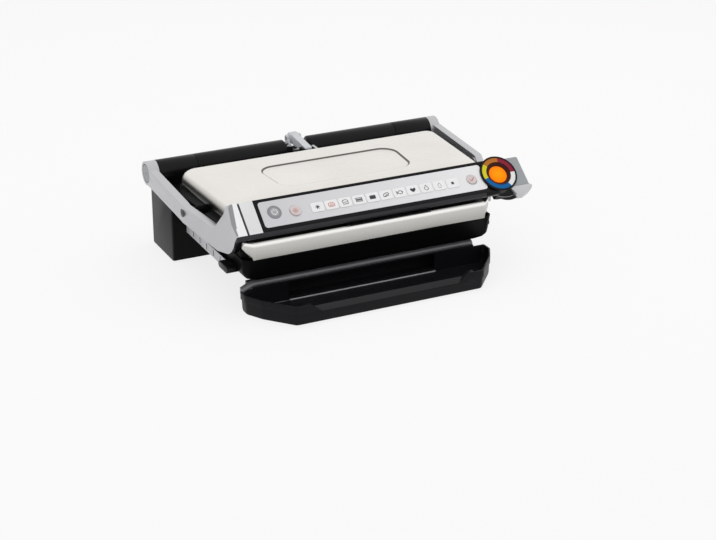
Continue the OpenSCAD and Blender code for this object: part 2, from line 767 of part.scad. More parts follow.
// side outline of an arm: straight band from the hub, knee, then up to the panel
function arm_outline() =
    let (top = arm_low_z + arm_h)
    rounded([[hinge_y - 6, hinge_z - 18], [bend_y + 3, arm_low_z], [-78, arm_low_z - 23],
             [-104, arm_low_z - 21], [-119, arm_low_z - 5], [-131, pin_z + 4],
             panel_point(-1), [-91, panel_z + 0.5], [-71, arm_low_z + 11],
             [bend_y + 4, top + 1], [hinge_y - 6, hinge_z + 12]],
            [0, 30, 12, 10, 8, 3, 3, 2, 2.5, 30, 0], 4);

// point on the panel plane at t down the slope
function panel_point(t) =
    [panel_y - t * cos(panel_tilt), panel_z - t * sin(panel_tilt)];

// outer face of the right arm in plan, from the hub to in front of the handle
arm_face = [[arm_x, 190], [arm_x, bend_y], [arm_front_x, front_end_y], [arm_front_x, -145]];

// plan of the right arm: blade parallel to the lid, bent inwards to the handle
function arm_plan() =
    concat(arm_face, [[arm_front_x - arm_t, -145], [arm_front_x - arm_t, front_end_y + 2],
                      [arm_x - arm_t, bend_y - 2], [arm_x - arm_t, 190]]);

// block that closes the handle's end, flush with the arm's outer face
module arm_end() {
    intersection() {
        union() {
            // sunk strip: the groove between arm and trim
            along_x(shell_x1 + 0.3, shell_x1 + groove_w + 0.2) polygon(handle_profile(1.4));
            along_x(shell_x1 + groove_w, arm_x) polygon(handle_profile(0));
        }
        linear_extrude(250) polygon([for (q = [[shell_x1, -60], [arm_x - 20, -60], each
            [for (f = arm_face) if (f.y < bend_y) f], [shell_x1, -145]]) q]);
    }
}

module arm_solid() {
    difference() {
        union() {
            intersection() {
                along_x(arm_front_x - 30, arm_x + 1) polygon(arm_outline());
                linear_extrude(250) polygon(arm_plan());
            }
            children();
            rod_x(hub_in, arm_x, hinge_y, hinge_z, tube_r);
            // boss behind the lid pin
            rod_x(arm_x - arm_t - pin_boss, arm_x - arm_t + 1, pin_y, pin_z, pin_r + 4);
        }
        // the outer face leans inwards above the notch
        intersection() {
            translate([arm_x - 23.2, -71, arm_low_z + 11.3]) rotate([0, -20.8, -7.6])
                translate([0, -100, -100]) cube([60, 200, 200]);
            translate([arm_x - 80, -171, 60]) cube([100, 100, 150]);
        }
        rod_x(hub_in - 1, arm_x - 4, hinge_y, hinge_z, shaft_r + seat);
        rod_x(arm_x - 2, arm_x + 1, hinge_y, hinge_z, tube_r - 4);
        rod_x(arm_x - arm_t - 10, arm_x + 1, pin_y, pin_z, pin_r + seat);
        rod_x(arm_x - 1.1, arm_x + 1, pin_y, pin_z, pin_r + 1.6);
    }
}

module arm_left() {
    color([0.8, 0.8, 0.82]) difference() {
        mirror([1, 0, 0]) arm_solid() arm_end();
        nose(-arm_x, shell_x0, seat);
    }
}

module arm_right() {
    // the right arm ends flat under the dial
    color([0.8, 0.8, 0.82]) difference() {
        arm_solid();
        on_panel() translate([shell_x1 - 20, -200, -dial_deep - 0.2]) cube([120, 260, 90]);
        translate([shell_x1 - 20, -188, 60]) cube([120, 108, 150]);
    }
}

module hub_caps() {
    color([0.45, 0.46, 0.47]) both_sides()
        translate([arm_x - 2, hinge_y, hinge_z]) rotate([0, 90, 0]) rotate_extrude()
            polygon([[0, 0], [tube_r - 4 - seat, 0], [tube_r - 4 - seat, 1],
                     [tube_r - 5, 1.7], [3, 1.7], [2.4, 1.2], [0, 1.2]]);
}

module lid_pins() {
    // shouldered pins that pass through the arms into the lid's lugs
    color([0.5, 0.5, 0.52]) both_sides() difference() {
        union() {
            rod_x(lug_x - 10, arm_x - 0.5, pin_y, pin_z, pin_r);
            rod_x(arm_x - 1, arm_x - 0.1, pin_y, pin_z, pin_r + 1.4);
        }
        for (a = [0, 90]) translate([arm_x - 0.5, pin_y, pin_z]) rotate([a, 0, 0])
            translate([0, -4, -0.6]) cube([2, 8, 1.2]);
    }
}

// side outline of the handle; a negative inset makes it larger
function handle_profile(inset) =
    rounded([panel_point(-border - 0.4) + [inset, -inset],
             panel_point(panel_len + 6) + [inset, inset * 0.6],
             [nose_y + inset, handle_low + 5.2], [nose_y + 5.6 + inset, handle_low + inset],
             [nose_y + 23.6, handle_low + inset], [nose_y + 39.6 - inset, handle_low + 14.8],
             [handle_back_y - inset, panel_z - 15.6], [handle_back_y - inset, panel_z - 1 - inset]],
            [2.5, 3, 3, 3, 4, 6, 6, 2.5], 4);

module handle_shell() {
    well_top = 1;                      // the board's well starts this far below the top edge
    color([0.05, 0.05, 0.055]) difference() {
        along_x(shell_x0, shell_end) polygon(handle_profile(0));
        nose(shell_x0 - 1, grip_end, seat);
        on_panel() {
            // seat of the panel plate
            panel_slab(-panel_t - 0.02, 5) polygon(panel_edge(0.05));
            // well for the buttons and the board
            panel_slab(board_n - board_t, 0)
                polygon(box_points(panel_x0 + 3, -panel_len + 3, dial_x - dial_r - 4, -well_top - 2));
            // narrower well below the board
            panel_slab(board_n - board_t - 6, 0)
                polygon(box_points(panel_x0 + 6, -panel_len + 8, dial_x - dial_r - 8, -well_top - 5));
            translate([dial_x, -dial_drop, -disc_deep - 0.1]) cylinder(r = dial_r + 0.1, h = 60);
        }
    }
}

// outline of the panel plate; its right end follows the dial
function panel_edge(grow) =
    rounded(box_points(panel_x0 - grow, -panel_len - grow, panel_x1 + grow, grow), 5, 5);

function key_x(i) = key_x0 + i * key_pitch;
function key_outline(grow) =
    rounded(box_points(-key_w / 2 - grow, -key_h / 2 - grow, key_w / 2 + grow, key_h / 2 + grow),
            3 + grow, 4);

module panel_plate() {
    hole_gap = 0.35;
    color([0.85, 0.85, 0.88]) on_panel() difference() {
        panel_slab(-panel_t, 0) polygon(panel_edge(0));
        for (i = [0 : keys - 1])
            translate([key_x(i), -key_drop, -5]) linear_extrude(10) polygon(key_outline(hole_gap / 2));
        for (b = [[power_x, power_drop, power_r], [frost_x, frost_drop, frost_r],
                  [confirm_x, confirm_drop, confirm_r]])
            translate([b[0], -b[1], -5]) cylinder(r = b[2] + hole_gap, h = 10);
        translate([dial_x, -dial_drop, -5]) cylinder(r = dial_r + 0.1, h = 10);
    }
}

module round_button(x, t, r) {
    on_panel(x, t) {
        translate([0, 0, flange_n - 1.2]) rotate_extrude()
            polygon([[0, 0], [r + flange, 0], [r + flange, 1.2], [r, 1.2],
                     [r, key_proud - flange_n + 0.8], [r - 0.5, key_proud - flange_n + 1.2],
                     [0, key_proud - flange_n + 1]]);
        translate([0, 0, button_low + key_travel]) cylinder(r = 2, h = 4.6);
    }
}

module power_button() { color([0.7, 0.7, 0.72]) round_button(power_x, power_drop, power_r); }
module frost_button() { color([0.9, 0.7, 0.68]) round_button(frost_x, frost_drop, frost_r); }
module confirm_button() { color([0.9, 0.7, 0.68]) round_button(confirm_x, confirm_drop, confirm_r); }

module mode_key(i) {
    lip = 0.7;
    color([0.95, 0.95, 0.95]) on_panel(key_x(i), key_drop) {
        panel_slab(flange_n - 1.2, flange_n) polygon(key_outline(lip));
        panel_slab(flange_n - 0.1, key_proud) polygon(key_outline(0));
        translate([0, 0, button_low + key_travel]) cylinder(r = 2, h = 4.6);
    }
}

module control_board() {
    // board with a snap switch under every button
    gap = 0.3;
    color([0.08, 0.28, 0.16]) on_panel() panel_slab(board_n - board_t + 0.02, board_n)
        polygon(box_points(panel_x0 + 3 + gap, -panel_len + 3 + gap, dial_x - dial_r - 4 - gap, -3 - gap));
    color([0.2, 0.2, 0.2]) {
        for (i = [0 : keys - 1]) snap_switch(key_x(i), key_drop);
        snap_switch(power_x, power_drop);
        snap_switch(frost_x, frost_drop);
        snap_switch(confirm_x, confirm_drop);
    }
}

module snap_switch(x, t) {
    on_panel(x, t) {
        translate([-3, -3, board_n]) cube([6, 6, 1]);
        translate([0, 0, board_n]) cylinder(r = 1.8, h = 1.6 - 0.1);
    }
}

module dial_cup() {
    // black disc that carries the coloured ring and the lens, and the body below it
    face = disc_deep + dial_proud;
    color([0.04, 0.04, 0.045]) on_panel(dial_x, dial_drop) {
        translate([0, 0, -disc_deep]) rotate_extrude($fn = 64)
            polygon([[0, 0], [dial_r, 0], [dial_r, face - 1], [dial_r - 1, face],
                     [ring_r + 0.05, face], [ring_r + 0.05, face - 2], [ring_in_r, face - 2],
                     [ring_in_r - 0.6, face - 1.6], [lens_r + 0.1, disc_deep - lens_deep + 2.4],
                     [lens_r + 0.1, disc_deep - lens_deep], [lens_r - 3, disc_deep - lens_deep],
                     [lens_r - 3, 2], [0, 2]]);
        intersection() {
            translate([0, 0, -dial_deep]) rotate_extrude($fn = 64)
                polygon([[0, 0], [dial_r - 3, 0], [dial_r - 1, 1], [dial_r, 3],
                         [dial_r, dial_deep - disc_deep + 1], [0, dial_deep - disc_deep + 1]]);
            translate([skirt_x - dial_x, -dial_r - 1, -dial_deep - 1])
                cube([2 * dial_r, 2 * dial_r + 2, dial_deep]);
        }
        translate([0, dial_drop, 0]) cup_body(0);
    }
}

// body below the dial, which slants to the right down to a round foot; the end cap
// stands round it
module cup_body(grow) {
    intersection() {
        hull() {
            translate([0, -dial_drop, -disc_deep - 1])
                cylinder(r = dial_r - 0.3 + grow, h = 2, $fn = 64);
            translate([foot_off, -foot_drop, -foot_deep + 1.5])
                cylinder(r = dial_r - 0.5 + grow, h = 2, $fn = 64);
            translate([foot_off, -foot_drop, -foot_deep - grow])
                cylinder(r = dial_r - 2.5 + grow, h = 2, $fn = 64);
        }
        translate([skirt_x - dial_x - grow, -3 * dial_r, -2 * foot_deep])
            cube([3 * dial_r, 4 * dial_r, 2 * foot_deep]);
    }
}

module dial_ring() {
    color([0.2, 0.5, 0.8]) on_panel(dial_x, dial_drop) translate([0, 0, dial_proud - 2])
        difference() {
            cylinder(r = ring_r, h = 1.2, $fn = 64);
            translate([0, 0, -1]) cylinder(r = ring_in_r + 0.1, h = 4, $fn = 64);
        }
}

module dial_lens() {
    crown = 1.6;
    big = (lens_r * lens_r + crown * crown) / (2 * crown);
    color([1, 0.5, 0.05]) on_panel(dial_x, dial_drop) translate([0, 0, -lens_deep])
        rotate_extrude($fn = 64)
            polygon(concat([[0, 0], [lens_r, 0]],
                [for (i = [0 : 5]) let (x = lens_r * (1 - i / 5))
                    [x, 2.6 + sqrt(big * big - x * x) - (big - crown)]]));
}

module end_cap() {
    // metal-grey end of the handle to the right of the dial: an upper facet in the panel's
    // plane and a lower one that falls away from it
    tip = cap_tip_x - dial_x;
    edge = -46.5;                      // line between the two facets
    color([0.55, 0.58, 0.57]) on_panel(dial_x, 0) difference() {
        union() {
            panel_slab(-24, -2.6)
                polygon(rounded([[8, 4], [45.6, 4], [47.4, edge], [tip, -50], [50.4, -54.5],
                                 [37, -60], [24, -59], [8, -44]], [2, 3, 0, 0, 2, 4, 3, 2], 3));
            panel_slab(-4, -1.5)
                polygon(rounded([[8, 3.4], [45, 3.4], [46.6, edge], [8, edge]], [2, 2.5, 1.5, 1], 3));
        }
        translate([0, edge - 0.8, -2.6]) rotate([26, 0, 0]) translate([-10, -60, 0])
            cube([tip + 20, 60, 40]);
        translate([0, -dial_drop, -60]) cylinder(r = dial_r + 0.15, h = 80);
        cup_body(0.15);
        translate([-30, -120, -60]) cube([38, 160, 80]);
    }
}

module end_trim() {
    // silver segment left of the panel, parted from the arm by a fine groove
    color([0.82, 0.82, 0.84]) difference() {
        along_x(shell_x0 - trim_w, shell_x0 - 0.1) polygon(handle_profile(0));
        nose(shell_x0 - trim_w - 1, shell_x0, seat);
    }
}

// the handle's lower front nose between two stations
module nose(x0, x1, grow) {
    far = 80;                          // reaches past the handle on every side
    y1 = grip_back_y + grow;
    intersection() {
        along_x(x0, x1) polygon(handle_profile(-grow));
        on_panel() translate([x0 - 1, -far, -far]) cube([x1 - x0 + 2, far - grip_t + grow, far + 20]);
        along_x(x0, x1) polygon(box_points(y1 - far, handle_low - far, y1, handle_low + far));
    }
}

module grip() {
    // soft strip along the nose, where the fingers hold the handle, rounded at its left end
    color([0.16, 0.16, 0.17]) intersection() {
        nose(-arm_front_x, grip_end - 0.1, 0);
        linear_extrude(200) polygon(rounded(box_points(-arm_front_x, -146, shell_x1, -100),
                                            [13, 0, 0, 0], 5));
    }
}

// ---- lid ----

// plan of the lid: wider at the rear, corners rounded
function lid_plan(rear_x, front_x, y0, y1, r) =
    rounded([[-front_x, y0], [front_x, y0], [rear_x, y1], [-rear_x, y1]], r, 6);

// a body with rolled top edges over the lid's plan
module rolled_body(inset, low_z) {
    steps = 4;
    roll = cover_roll - inset;
    hull() {
        for (i = [1 : steps]) {
            a = 90 * i / steps;
            d = inset + roll * (1 - cos(a));
            translate([0, 0, frame_top + roll * sin(a) - 0.3]) linear_extrude(0.3)
                polygon(lid_plan(cover_rear_x - d, cover_front_x - d, cover_front_y + d,
                                 lid_rear_y - d, 18 - d / 2));
        }
        // straight skirt below the roll
        translate([0, 0, low_z]) linear_extrude(frame_top - low_z)
            polygon(lid_plan(cover_rear_x - inset, cover_front_x - inset, cover_front_y + inset,
                             lid_rear_y - inset, 18 - inset / 2));
    }
}

// outline of the bare badge field, grown by g
function badge_plan(g) =
    let (front = 113 + g, rear = 121 + g, y0 = -48 - g, y1 = 49 + g)
    rounded([[-front, y0], [front, y0], [rear, y1], [-rear, y1]], 26 + g, 6);

module lid_cover() {
    color([0.8, 0.79, 0.77]) difference() {
        rolled_body(0, skirt_z);
        difference() {
            rolled_body(sheet_t, skirt_z - 1);
            translate([0, 0, cover_z - badge_deep - sheet_t]) linear_extrude(10)
                polygon(badge_plan(sheet_t));
        }
        translate([0, 0, cover_z - badge_deep]) linear_extrude(3) polygon(badge_plan(0));
        // slot for the ears that hold the link arm
        translate([-ear_in - ear_t - slack, lid_rear_y - 24, skirt_z - 1])
            cube([2 * (ear_in + ear_t + slack), 40, link_end_z + 6 - skirt_z]);
    }
}

module lid_frame() {
    // black moulded frame below the cover, with the pivot lugs
    top = skirt_z - 0.2;
    tuck = sheet_t + seat;
    wall = 4;
    color([0.06, 0.06, 0.065]) difference() {
        union() {
            difference() {
                translate([0, 0, lid_z]) linear_extrude(top - lid_z)
                    polygon(lid_plan(frame_rear_x, frame_front_x, lid_front_y, lid_rear_y, 16));
                // the front slopes back below the handle
                along_x(-arm_x, arm_x)
                    polygon([[-94, 136], [lid_front_y, 132], [lid_front_y - 20, 132],
                             [lid_front_y - 20, 170], [-85, 170], [-85, top]]);
            }
            // collar that the cover is pressed over
            translate([0, 0, top - 1]) linear_extrude(frame_top - 0.2 - top + 1)
                polygon(lid_plan(cover_rear_x - tuck, cover_front_x - tuck,
                                 cover_front_y + tuck, lid_rear_y - tuck, 19));
            both_sides() translate([cover_front_x, pin_y, pin_z]) rotate([0, 90, 0])
                cylinder(r1 = pin_z - lid_z, r2 = pin_r + 2, h = lug_x - cover_front_x);
            // ears at the rear for the link arm
            both_sides() along_x(ear_in, ear_in + ear_t)
                polygon(rounded([[lid_rear_y - 20, top - 4], [lid_rear_y - 1, top - 4],
                                 [link_end_y + 4, link_end_z - 3], [link_end_y + 4, link_end_z + 4.5],
                                 [lid_rear_y - 20, link_end_z + 4.5]], [0, 0, 2, 2, 2], 3));
        }
        // hollow for the plate
        translate([0, 0, lid_z - 1]) linear_extrude(upper_low + plate_t + rib_h + 1.6 - lid_z + 1)
            polygon(rounded(box_points(-plate_x - 0.6, upper_front - 0.6,
                                       plate_x + 0.6, plate_y + 0.6), 11, 5));
        // hollow above it for element and reflector
        translate([0, 0, lid_z + 8]) linear_extrude(frame_top - lid_z)
            polygon(lid_plan(cover_rear_x - 2 * wall, cover_front_x - 2 * wall,
                             cover_front_y + wall, lid_rear_y - 2 * wall, 14));
        // bores for the pins
        both_sides() rod_x(lug_x - 12, lug_x + 1, pin_y, pin_z, pin_r + run_gap);
        rod_x(-ear_in - ear_t - 1, ear_in + ear_t + 1, link_end_y, link_end_z, link_end_r + seat);
    }
}

module upper_plate() {
    edge = 5;
    color([0.13, 0.13, 0.14]) {
        difference() {
            translate([0, 0, upper_low]) linear_extrude(plate_t + rib_h)
                polygon(rounded(box_points(-plate_x, upper_front, plate_x, plate_y), 11, 5));
            translate([0, 0, lid_z - 1]) linear_extrude(upper_face - lid_z + 1)
                polygon(rounded(box_points(-plate_x + edge, upper_front + edge,
                                           plate_x - edge, plate_y - edge), 9, 5));
        }
        mirror([0, 0, 1]) intersection() {
            plate_ribs(-upper_face, 1);
            translate([-plate_x, upper_front + edge + 2, -200])
                cube([2 * plate_x, plate_y - upper_front - 2 * edge - 12, 200]);
        }
    }
}

module upper_element() {
    color([0.35, 0.34, 0.33])
        element_path(upper_low + plate_t + rib_h + element_r + 0.1, element_r);
}

module upper_reflector() {
    color([0.66, 0.66, 0.64])
        translate([0, 0, upper_low + plate_t + rib_h + 2 * element_r + 0.6])
            reflector(cover_front_y + 5);
}

module upper_catches() {
    // flat springs between the frame and the upper plate's front corners
    color([0.5, 0.5, 0.52]) both_sides()
        translate([150, upper_front + 0.4, upper_low + plate_t + rib_h + 0.1]) {
            cube([14, 10, 1.2]);
        }
}

module link_arm() {
    color([0.86, 0.86, 0.88]) difference() {
        union() {
            translate([-link_head_w / 2, link_y, link_z]) rotate([0, 90, 0]) rotate_extrude()
                polygon([[0, 0], [6.5, 0], [8.4, 0.9], [9.5, 3], [9.5, link_head_w - 3],
                         [8.4, link_head_w - 0.9], [6.5, link_head_w], [0, link_head_w]]);
            along_x(-link_w / 2, link_w / 2)
                polygon(rounded([[link_y, link_z + 9.4], [link_y - 6, link_z + 8.2],
                                 [link_end_y + 6, link_end_z + 5], [link_end_y - 5, link_end_z + 4.2],
                                 [link_end_y - 5, link_end_z - 4.2], [link_end_y + 6, link_end_z - 5],
                                 [link_y - 6, link_z - 8], [link_y, link_z - 9]],
                                [0, 4, 0, 3, 3, 0, 4, 0], 3));
        }
        rod_x(-link_head_w, link_head_w, link_y, link_z, link_pin_r + run_gap);
        along_x(-link_w, link_w) polygon(box_points(
            link_end_y - link_slot, link_end_z - link_end_r - slack / 2,
            link_end_y + link_slot, link_end_z + link_end_r + slack / 2));
        for (s = [-1, 1])
            rod_x(-link_w, link_w, link_end_y + s * link_slot, link_end_z, link_end_r + slack / 2);
    }
}

module link_pin() {
    reach = ear_in + ear_t;
    color([0.6, 0.6, 0.62]) rod_x(-reach, reach, link_end_y, link_end_z, link_end_r);
}

// ---- drip tray ----

// plan of the open front basin; the rear wall stands in line with the hood's front
function tray_plan(inset) =
    let (nose = tray_nose_x - inset * 0.8, front = tray_front_y + inset, x = tray_x - inset,
         rear = tray_hood_y - min(inset, tray_wall))
    rounded([[-nose, front], [nose, front], [x - 15, -150], [x, -123], [x, rear],
             [-x, rear], [-x, -123], [-x + 15, -150]],
            [9, 9, 30, 16, 3, 3, 16, 30], 5);

// body of the basin: a wider rim band above a slightly tapered lower part
module tray_form(inset, z_low, z_top) {
    taper = 3;
    rise = 4;
    step = 1.4;                        // how far the rim band stands out
    hull() {
        translate([0, 0, z_low]) linear_extrude(0.4) polygon(tray_plan(inset + taper));
        translate([0, 0, rise]) linear_extrude(0.4) polygon(tray_plan(inset + step + 0.6));
        translate([0, 0, tray_band_z - 0.4]) linear_extrude(0.6) polygon(tray_plan(inset + step));
    }
    translate([0, 0, tray_band_z]) linear_extrude(z_top - tray_band_z) polygon(tray_plan(inset));
}

// room above the sloped sheet where the fingers reach the tray's front
module finger_room() {
    intersection() {
        translate([0, tray_front_y + 30, 0]) rotate([90, 0, 0]) linear_extrude(40)
            polygon([[-116, finger_z], [116, finger_z], [142, finger_z + 19], [-142, finger_z + 19]]);
        along_x(-tray_x, tray_x)
            polygon([[tray_front_y - 1, finger_z - 0.9], [tray_front_y + 9, finger_z + 8],
                     [tray_front_y + 20, finger_z + 8], [tray_front_y + 20, finger_z + 40],
                     [tray_front_y - 1, finger_z + 40]]);
    }
}

module drip_tray() {
    low = 0.5;
    rim = tray_h - 3;
    hood_end = leg_y - leg_r(tray_h) - slack;   // the covered part stops at the legs
    hood_x = tray_x - 21;
    floor_z = low + tray_wall;
    mouth_low = tray_sill_z - 0.2;
    color([0.07, 0.07, 0.08]) {
        difference() {
            union() {
                difference() {
                    tray_form(0, low, rim);
                    tray_form(tray_wall, floor_z, rim + 4);
                }
                // sloped sheet for the fingers, with a gusset at each end
                along_x(-144, 144)
                    polygon([[tray_front_y + 1, finger_z - 4], [tray_front_y + 9, finger_z + 4],
                             [tray_front_y + 9, rim], [tray_front_y + 1, rim]]);
            }
            translate([-tray_mouth_x - 6, tray_hood_y - 8, mouth_low])
                cube([2 * tray_mouth_x, 20, 60]);
            finger_room();
        }
        difference() {
            translate([-hood_x, tray_hood_y - tray_wall, low])
                cube([2 * hood_x, hood_end - tray_hood_y + tray_wall, tray_h - low]);
            translate([-hood_x + tray_wall, tray_hood_y, floor_z])
                cube([2 * (hood_x - tray_wall), hood_end - tray_hood_y - tray_wall,
                      tray_h - floor_z - tray_wall]);
            translate([-tray_mouth_x - 6, tray_hood_y - tray_wall - 1, mouth_low])
                cube([2 * tray_mouth_x, tray_wall + 2, tray_h - mouth_low - tray_wall]);
        }
        // sill along the opening's lower edge
        translate([-tray_mouth_x - 6, tray_hood_y - tray_wall - 4, low + 1])
            cube([2 * tray_mouth_x, tray_wall + 4.5, tray_sill_z - low - 1]);
    }
}

// ---- assembly ----

module placed() {
    translate([-mid_x, -mid_y, 0]) children();
}

placed() {
    base_housing();
    front_band();
    rear_housing();
    bottom_cover();
    vent_strips();
    feet();
    cord_gland();
    power_board();
    lower_plate();
    lower_element();
    lower_reflector();
    plate_sensor();
    housing_screws();
    catch_left();
    catch_right();
    catch_spring_left();
    catch_spring_right();
    hinge_shaft();
    hinge_tubes();
    arm_left();
    arm_right();
    hub_caps();
    lid_pins();
    handle_shell();
    end_trim();
    panel_plate();
    control_board();
    dial_cup();
    dial_ring();
    dial_lens();
    end_cap();
    grip();
    link_axle();
    link_pin();
    lid_cover();
    lid_frame();
    upper_plate();
    upper_element();
    upper_reflector();
    upper_catches();
    link_arm();
    drip_tray();
    power_button();
    frost_button();
    confirm_button();
    for (i = [0 : keys - 1])
        mode_key(i);
}
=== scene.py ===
"""Electric indoor grill with a hinged lid: looks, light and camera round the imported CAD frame."""

import math

import bmesh
import bpy
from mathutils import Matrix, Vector


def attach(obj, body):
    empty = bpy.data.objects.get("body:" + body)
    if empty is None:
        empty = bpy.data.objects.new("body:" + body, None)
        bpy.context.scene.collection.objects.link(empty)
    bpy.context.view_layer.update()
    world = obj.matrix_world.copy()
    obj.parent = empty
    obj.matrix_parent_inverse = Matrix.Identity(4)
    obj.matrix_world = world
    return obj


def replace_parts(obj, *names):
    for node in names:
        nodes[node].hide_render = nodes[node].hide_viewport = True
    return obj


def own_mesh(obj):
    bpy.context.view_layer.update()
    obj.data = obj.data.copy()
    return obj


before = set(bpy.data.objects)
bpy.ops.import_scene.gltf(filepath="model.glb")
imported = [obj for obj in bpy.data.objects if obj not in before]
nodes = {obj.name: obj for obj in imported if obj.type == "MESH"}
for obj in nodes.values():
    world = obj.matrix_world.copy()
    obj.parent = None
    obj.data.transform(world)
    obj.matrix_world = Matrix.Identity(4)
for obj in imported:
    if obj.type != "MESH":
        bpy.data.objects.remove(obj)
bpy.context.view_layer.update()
scene = bpy.context.scene
MM = 0.001
OX, OY = 10.0, 11.0        # working axes to the row frame, millimetres


def at(x, y, z):
    """A point given in the working axes of the construction, in millimetres."""
    return Vector(((x - OX) * MM, (y - OY) * MM, z * MM))


# ---- camera ----
AZ, EL = math.radians(-25.9), math.radians(23.54)
TARGET = Vector((0.0269, -0.011, -0.0209))
DISTANCE = 2.9527                                  # metres from the target
SENSOR, LENS = 36, 90.44                           # millimetres

back = Vector((math.sin(AZ) * math.cos(EL), -math.cos(AZ) * math.cos(EL), math.sin(EL)))
cam_data = bpy.data.cameras.new("camera")
cam_data.sensor_width = SENSOR
cam_data.lens = LENS
cam_data.clip_end = 60
camera = bpy.data.objects.new("camera", cam_data)
scene.collection.objects.link(camera)
camera.location = TARGET + back * DISTANCE
camera.rotation_euler = back.to_track_quat("Z", "Y").to_euler()
scene.camera = camera
scene.view_settings.view_transform = "Standard"


# ---- node helpers ----
def link(nt, a, b):
    nt.links.new(a, b)


def node(nt, kind, **values):
    """A new shader node; each value sets an input of that name or else a property."""
    n = nt.nodes.new(kind)
    for key, value in values.items():
        if key in n.inputs:
            n.inputs[key].default_value = value
        else:
            setattr(n, key, value)
    return n


def object_point(nt, scale=(1, 1, 1)):
    coord = node(nt, "ShaderNodeTexCoord")
    mapping = node(nt, "ShaderNodeMapping")
    mapping.inputs["Scale"].default_value = scale
    link(nt, coord.outputs["Object"], mapping.inputs["Vector"])
    return mapping.outputs["Vector"]


def noise(nt, vector, scale, detail=2.0):
    n = node(nt, "ShaderNodeTexNoise", Scale=scale, Detail=detail)
    link(nt, vector, n.inputs["Vector"])
    return n.outputs["Fac"]


def remap(nt, value, low, high, from_low=0.3, from_high=0.7):
    n = node(nt, "ShaderNodeMapRange")
    n.inputs["From Min"].default_value = from_low
    n.inputs["From Max"].default_value = from_high
    n.inputs["To Min"].default_value = low
    n.inputs["To Max"].default_value = high
    link(nt, value, n.inputs["Value"])
    return n.outputs["Result"]


def two_colours(nt, fac, a, b):
    n = node(nt, "ShaderNodeMix", data_type="RGBA")
    n.inputs[6].default_value = (*a, 1)
    n.inputs[7].default_value = (*b, 1)
    link(nt, fac, n.inputs[0])
    return n.outputs[2]


def scaled(colour, k):
    """The colour made k times as light."""
    return tuple(min(1.0, c * k) for c in colour)


ROUGH_SWING = 0.05         # how far the roughness strays to each side
BUMP_DEPTH = 0.0002        # metres
HAIR = 2600                # noise cells per metre across the brushing
HAIR_ALONG = 0.012         # how much fewer there are along it


def finish_of(name, colour, rough, metal=0.0, spec=0.5, vary=0.06, patch=35, grain=(1800, 0.06, 1),
              stretch=(1, 1, 1)):
    """A procedural finish: cloudy colour in patches, uneven roughness and a fine bump.
    grain is the bump's scale, strength and detail, and stretch draws it out for brushed metal."""
    m = bpy.data.materials.new(name)
    m.use_nodes = True
    nt = m.node_tree
    b = nt.nodes["Principled BSDF"]
    b.inputs["Metallic"].default_value = metal
    b.inputs["Specular IOR Level"].default_value = spec
    cloud = noise(nt, object_point(nt), patch, 3)
    link(nt, two_colours(nt, remap(nt, cloud, 0, 1), scaled(colour, 1 - vary), scaled(colour, 1 + vary)),
         b.inputs["Base Color"])
    fine = noise(nt, object_point(nt, stretch), grain[0], grain[2])
    link(nt, remap(nt, fine, rough - ROUGH_SWING, rough + ROUGH_SWING), b.inputs["Roughness"])
    bump = node(nt, "ShaderNodeBump", Strength=grain[1], Distance=BUMP_DEPTH)
    link(nt, fine, bump.inputs["Height"])
    link(nt, bump.outputs["Normal"], b.inputs["Normal"])
    return m


def brushed(name, colour, rough):
    """Brushed sheet: hair-fine streaks along the object's width."""
    return finish_of(name, colour, rough, metal=1.0, vary=0.035, patch=9, grain=(1.0, 0.05, 2),
                     stretch=(HAIR * HAIR_ALONG, HAIR, HAIR))


def graded(m, other, axis, low, high, of="Object"):
    """Fades a finish into another colour along an axis, by place in millimetres or by the face's normal."""
    nt = m.node_tree
    base = nt.nodes["Principled BSDF"].inputs["Base Color"]
    before = base.links[0].from_socket
    coord = node(nt, "ShaderNodeTexCoord")
    split = node(nt, "ShaderNodeSeparateXYZ")
    link(nt, coord.outputs[of], split.inputs[0])
    k = MM if of == "Object" else 1
    mix = node(nt, "ShaderNodeMix", data_type="RGBA")
    mix.inputs[7].default_value = (*other, 1)
    link(nt, remap(nt, split.outputs[axis], 0, 1, low * k, high * k), mix.inputs[0])
    link(nt, before, mix.inputs[6])
    link(nt, mix.outputs[2], base)
    return m


# ---- finishes, painted light and shade among them ----
black = finish_of("black_plastic", (0.0028, 0.0028, 0.003), 0.45, spec=0.035, grain=(2600, 0.10, 2))
# painted light: a lighter, glossier copy of the black, painted top light for the tray's upward faces
black_painted_top_light = finish_of("black_plastic_painted_top_light", (0.009, 0.009, 0.0105), 0.36, spec=0.30, grain=(2600, 0.08, 2))
black_fine = finish_of("black_satin", (0.006, 0.006, 0.007), 0.30, spec=0.16, grain=(3200, 0.04, 2))
# painted light: a lighter copy of the charcoal for the rear housing's side faces, painted as lit sides
side_painted_light = finish_of("charcoal_side_painted_light", (0.024, 0.024, 0.026), 0.44, spec=0.12, grain=(2300, 0.14, 2))
tray_black = finish_of("tray_plastic", (0.0065, 0.0068, 0.0082), 0.40, spec=0.13, grain=(2400, 0.10, 2))
# painted highlights: light greys for the strips along the tray's lip and sill, standing in for the light they
# catch
lip_painted_highlight = finish_of("tray_lip_highlight", (0.155, 0.155, 0.165), 0.30, spec=0.9, grain=(2400, 0.05, 2))
sill_painted_highlight = finish_of("tray_sill_highlight", (0.52, 0.52, 0.53), 0.30, spec=0.8, grain=(2400, 0.05, 2))
gloss = finish_of("gloss_black", (0.005, 0.005, 0.006), 0.20, spec=0.14, grain=(900, 0.01, 1))
charcoal = finish_of("charcoal_plastic", (0.0045, 0.0045, 0.005), 0.46, spec=0.08, grain=(2300, 0.14, 2))
steel = brushed("brushed_steel", (0.80, 0.775, 0.735), 0.30)
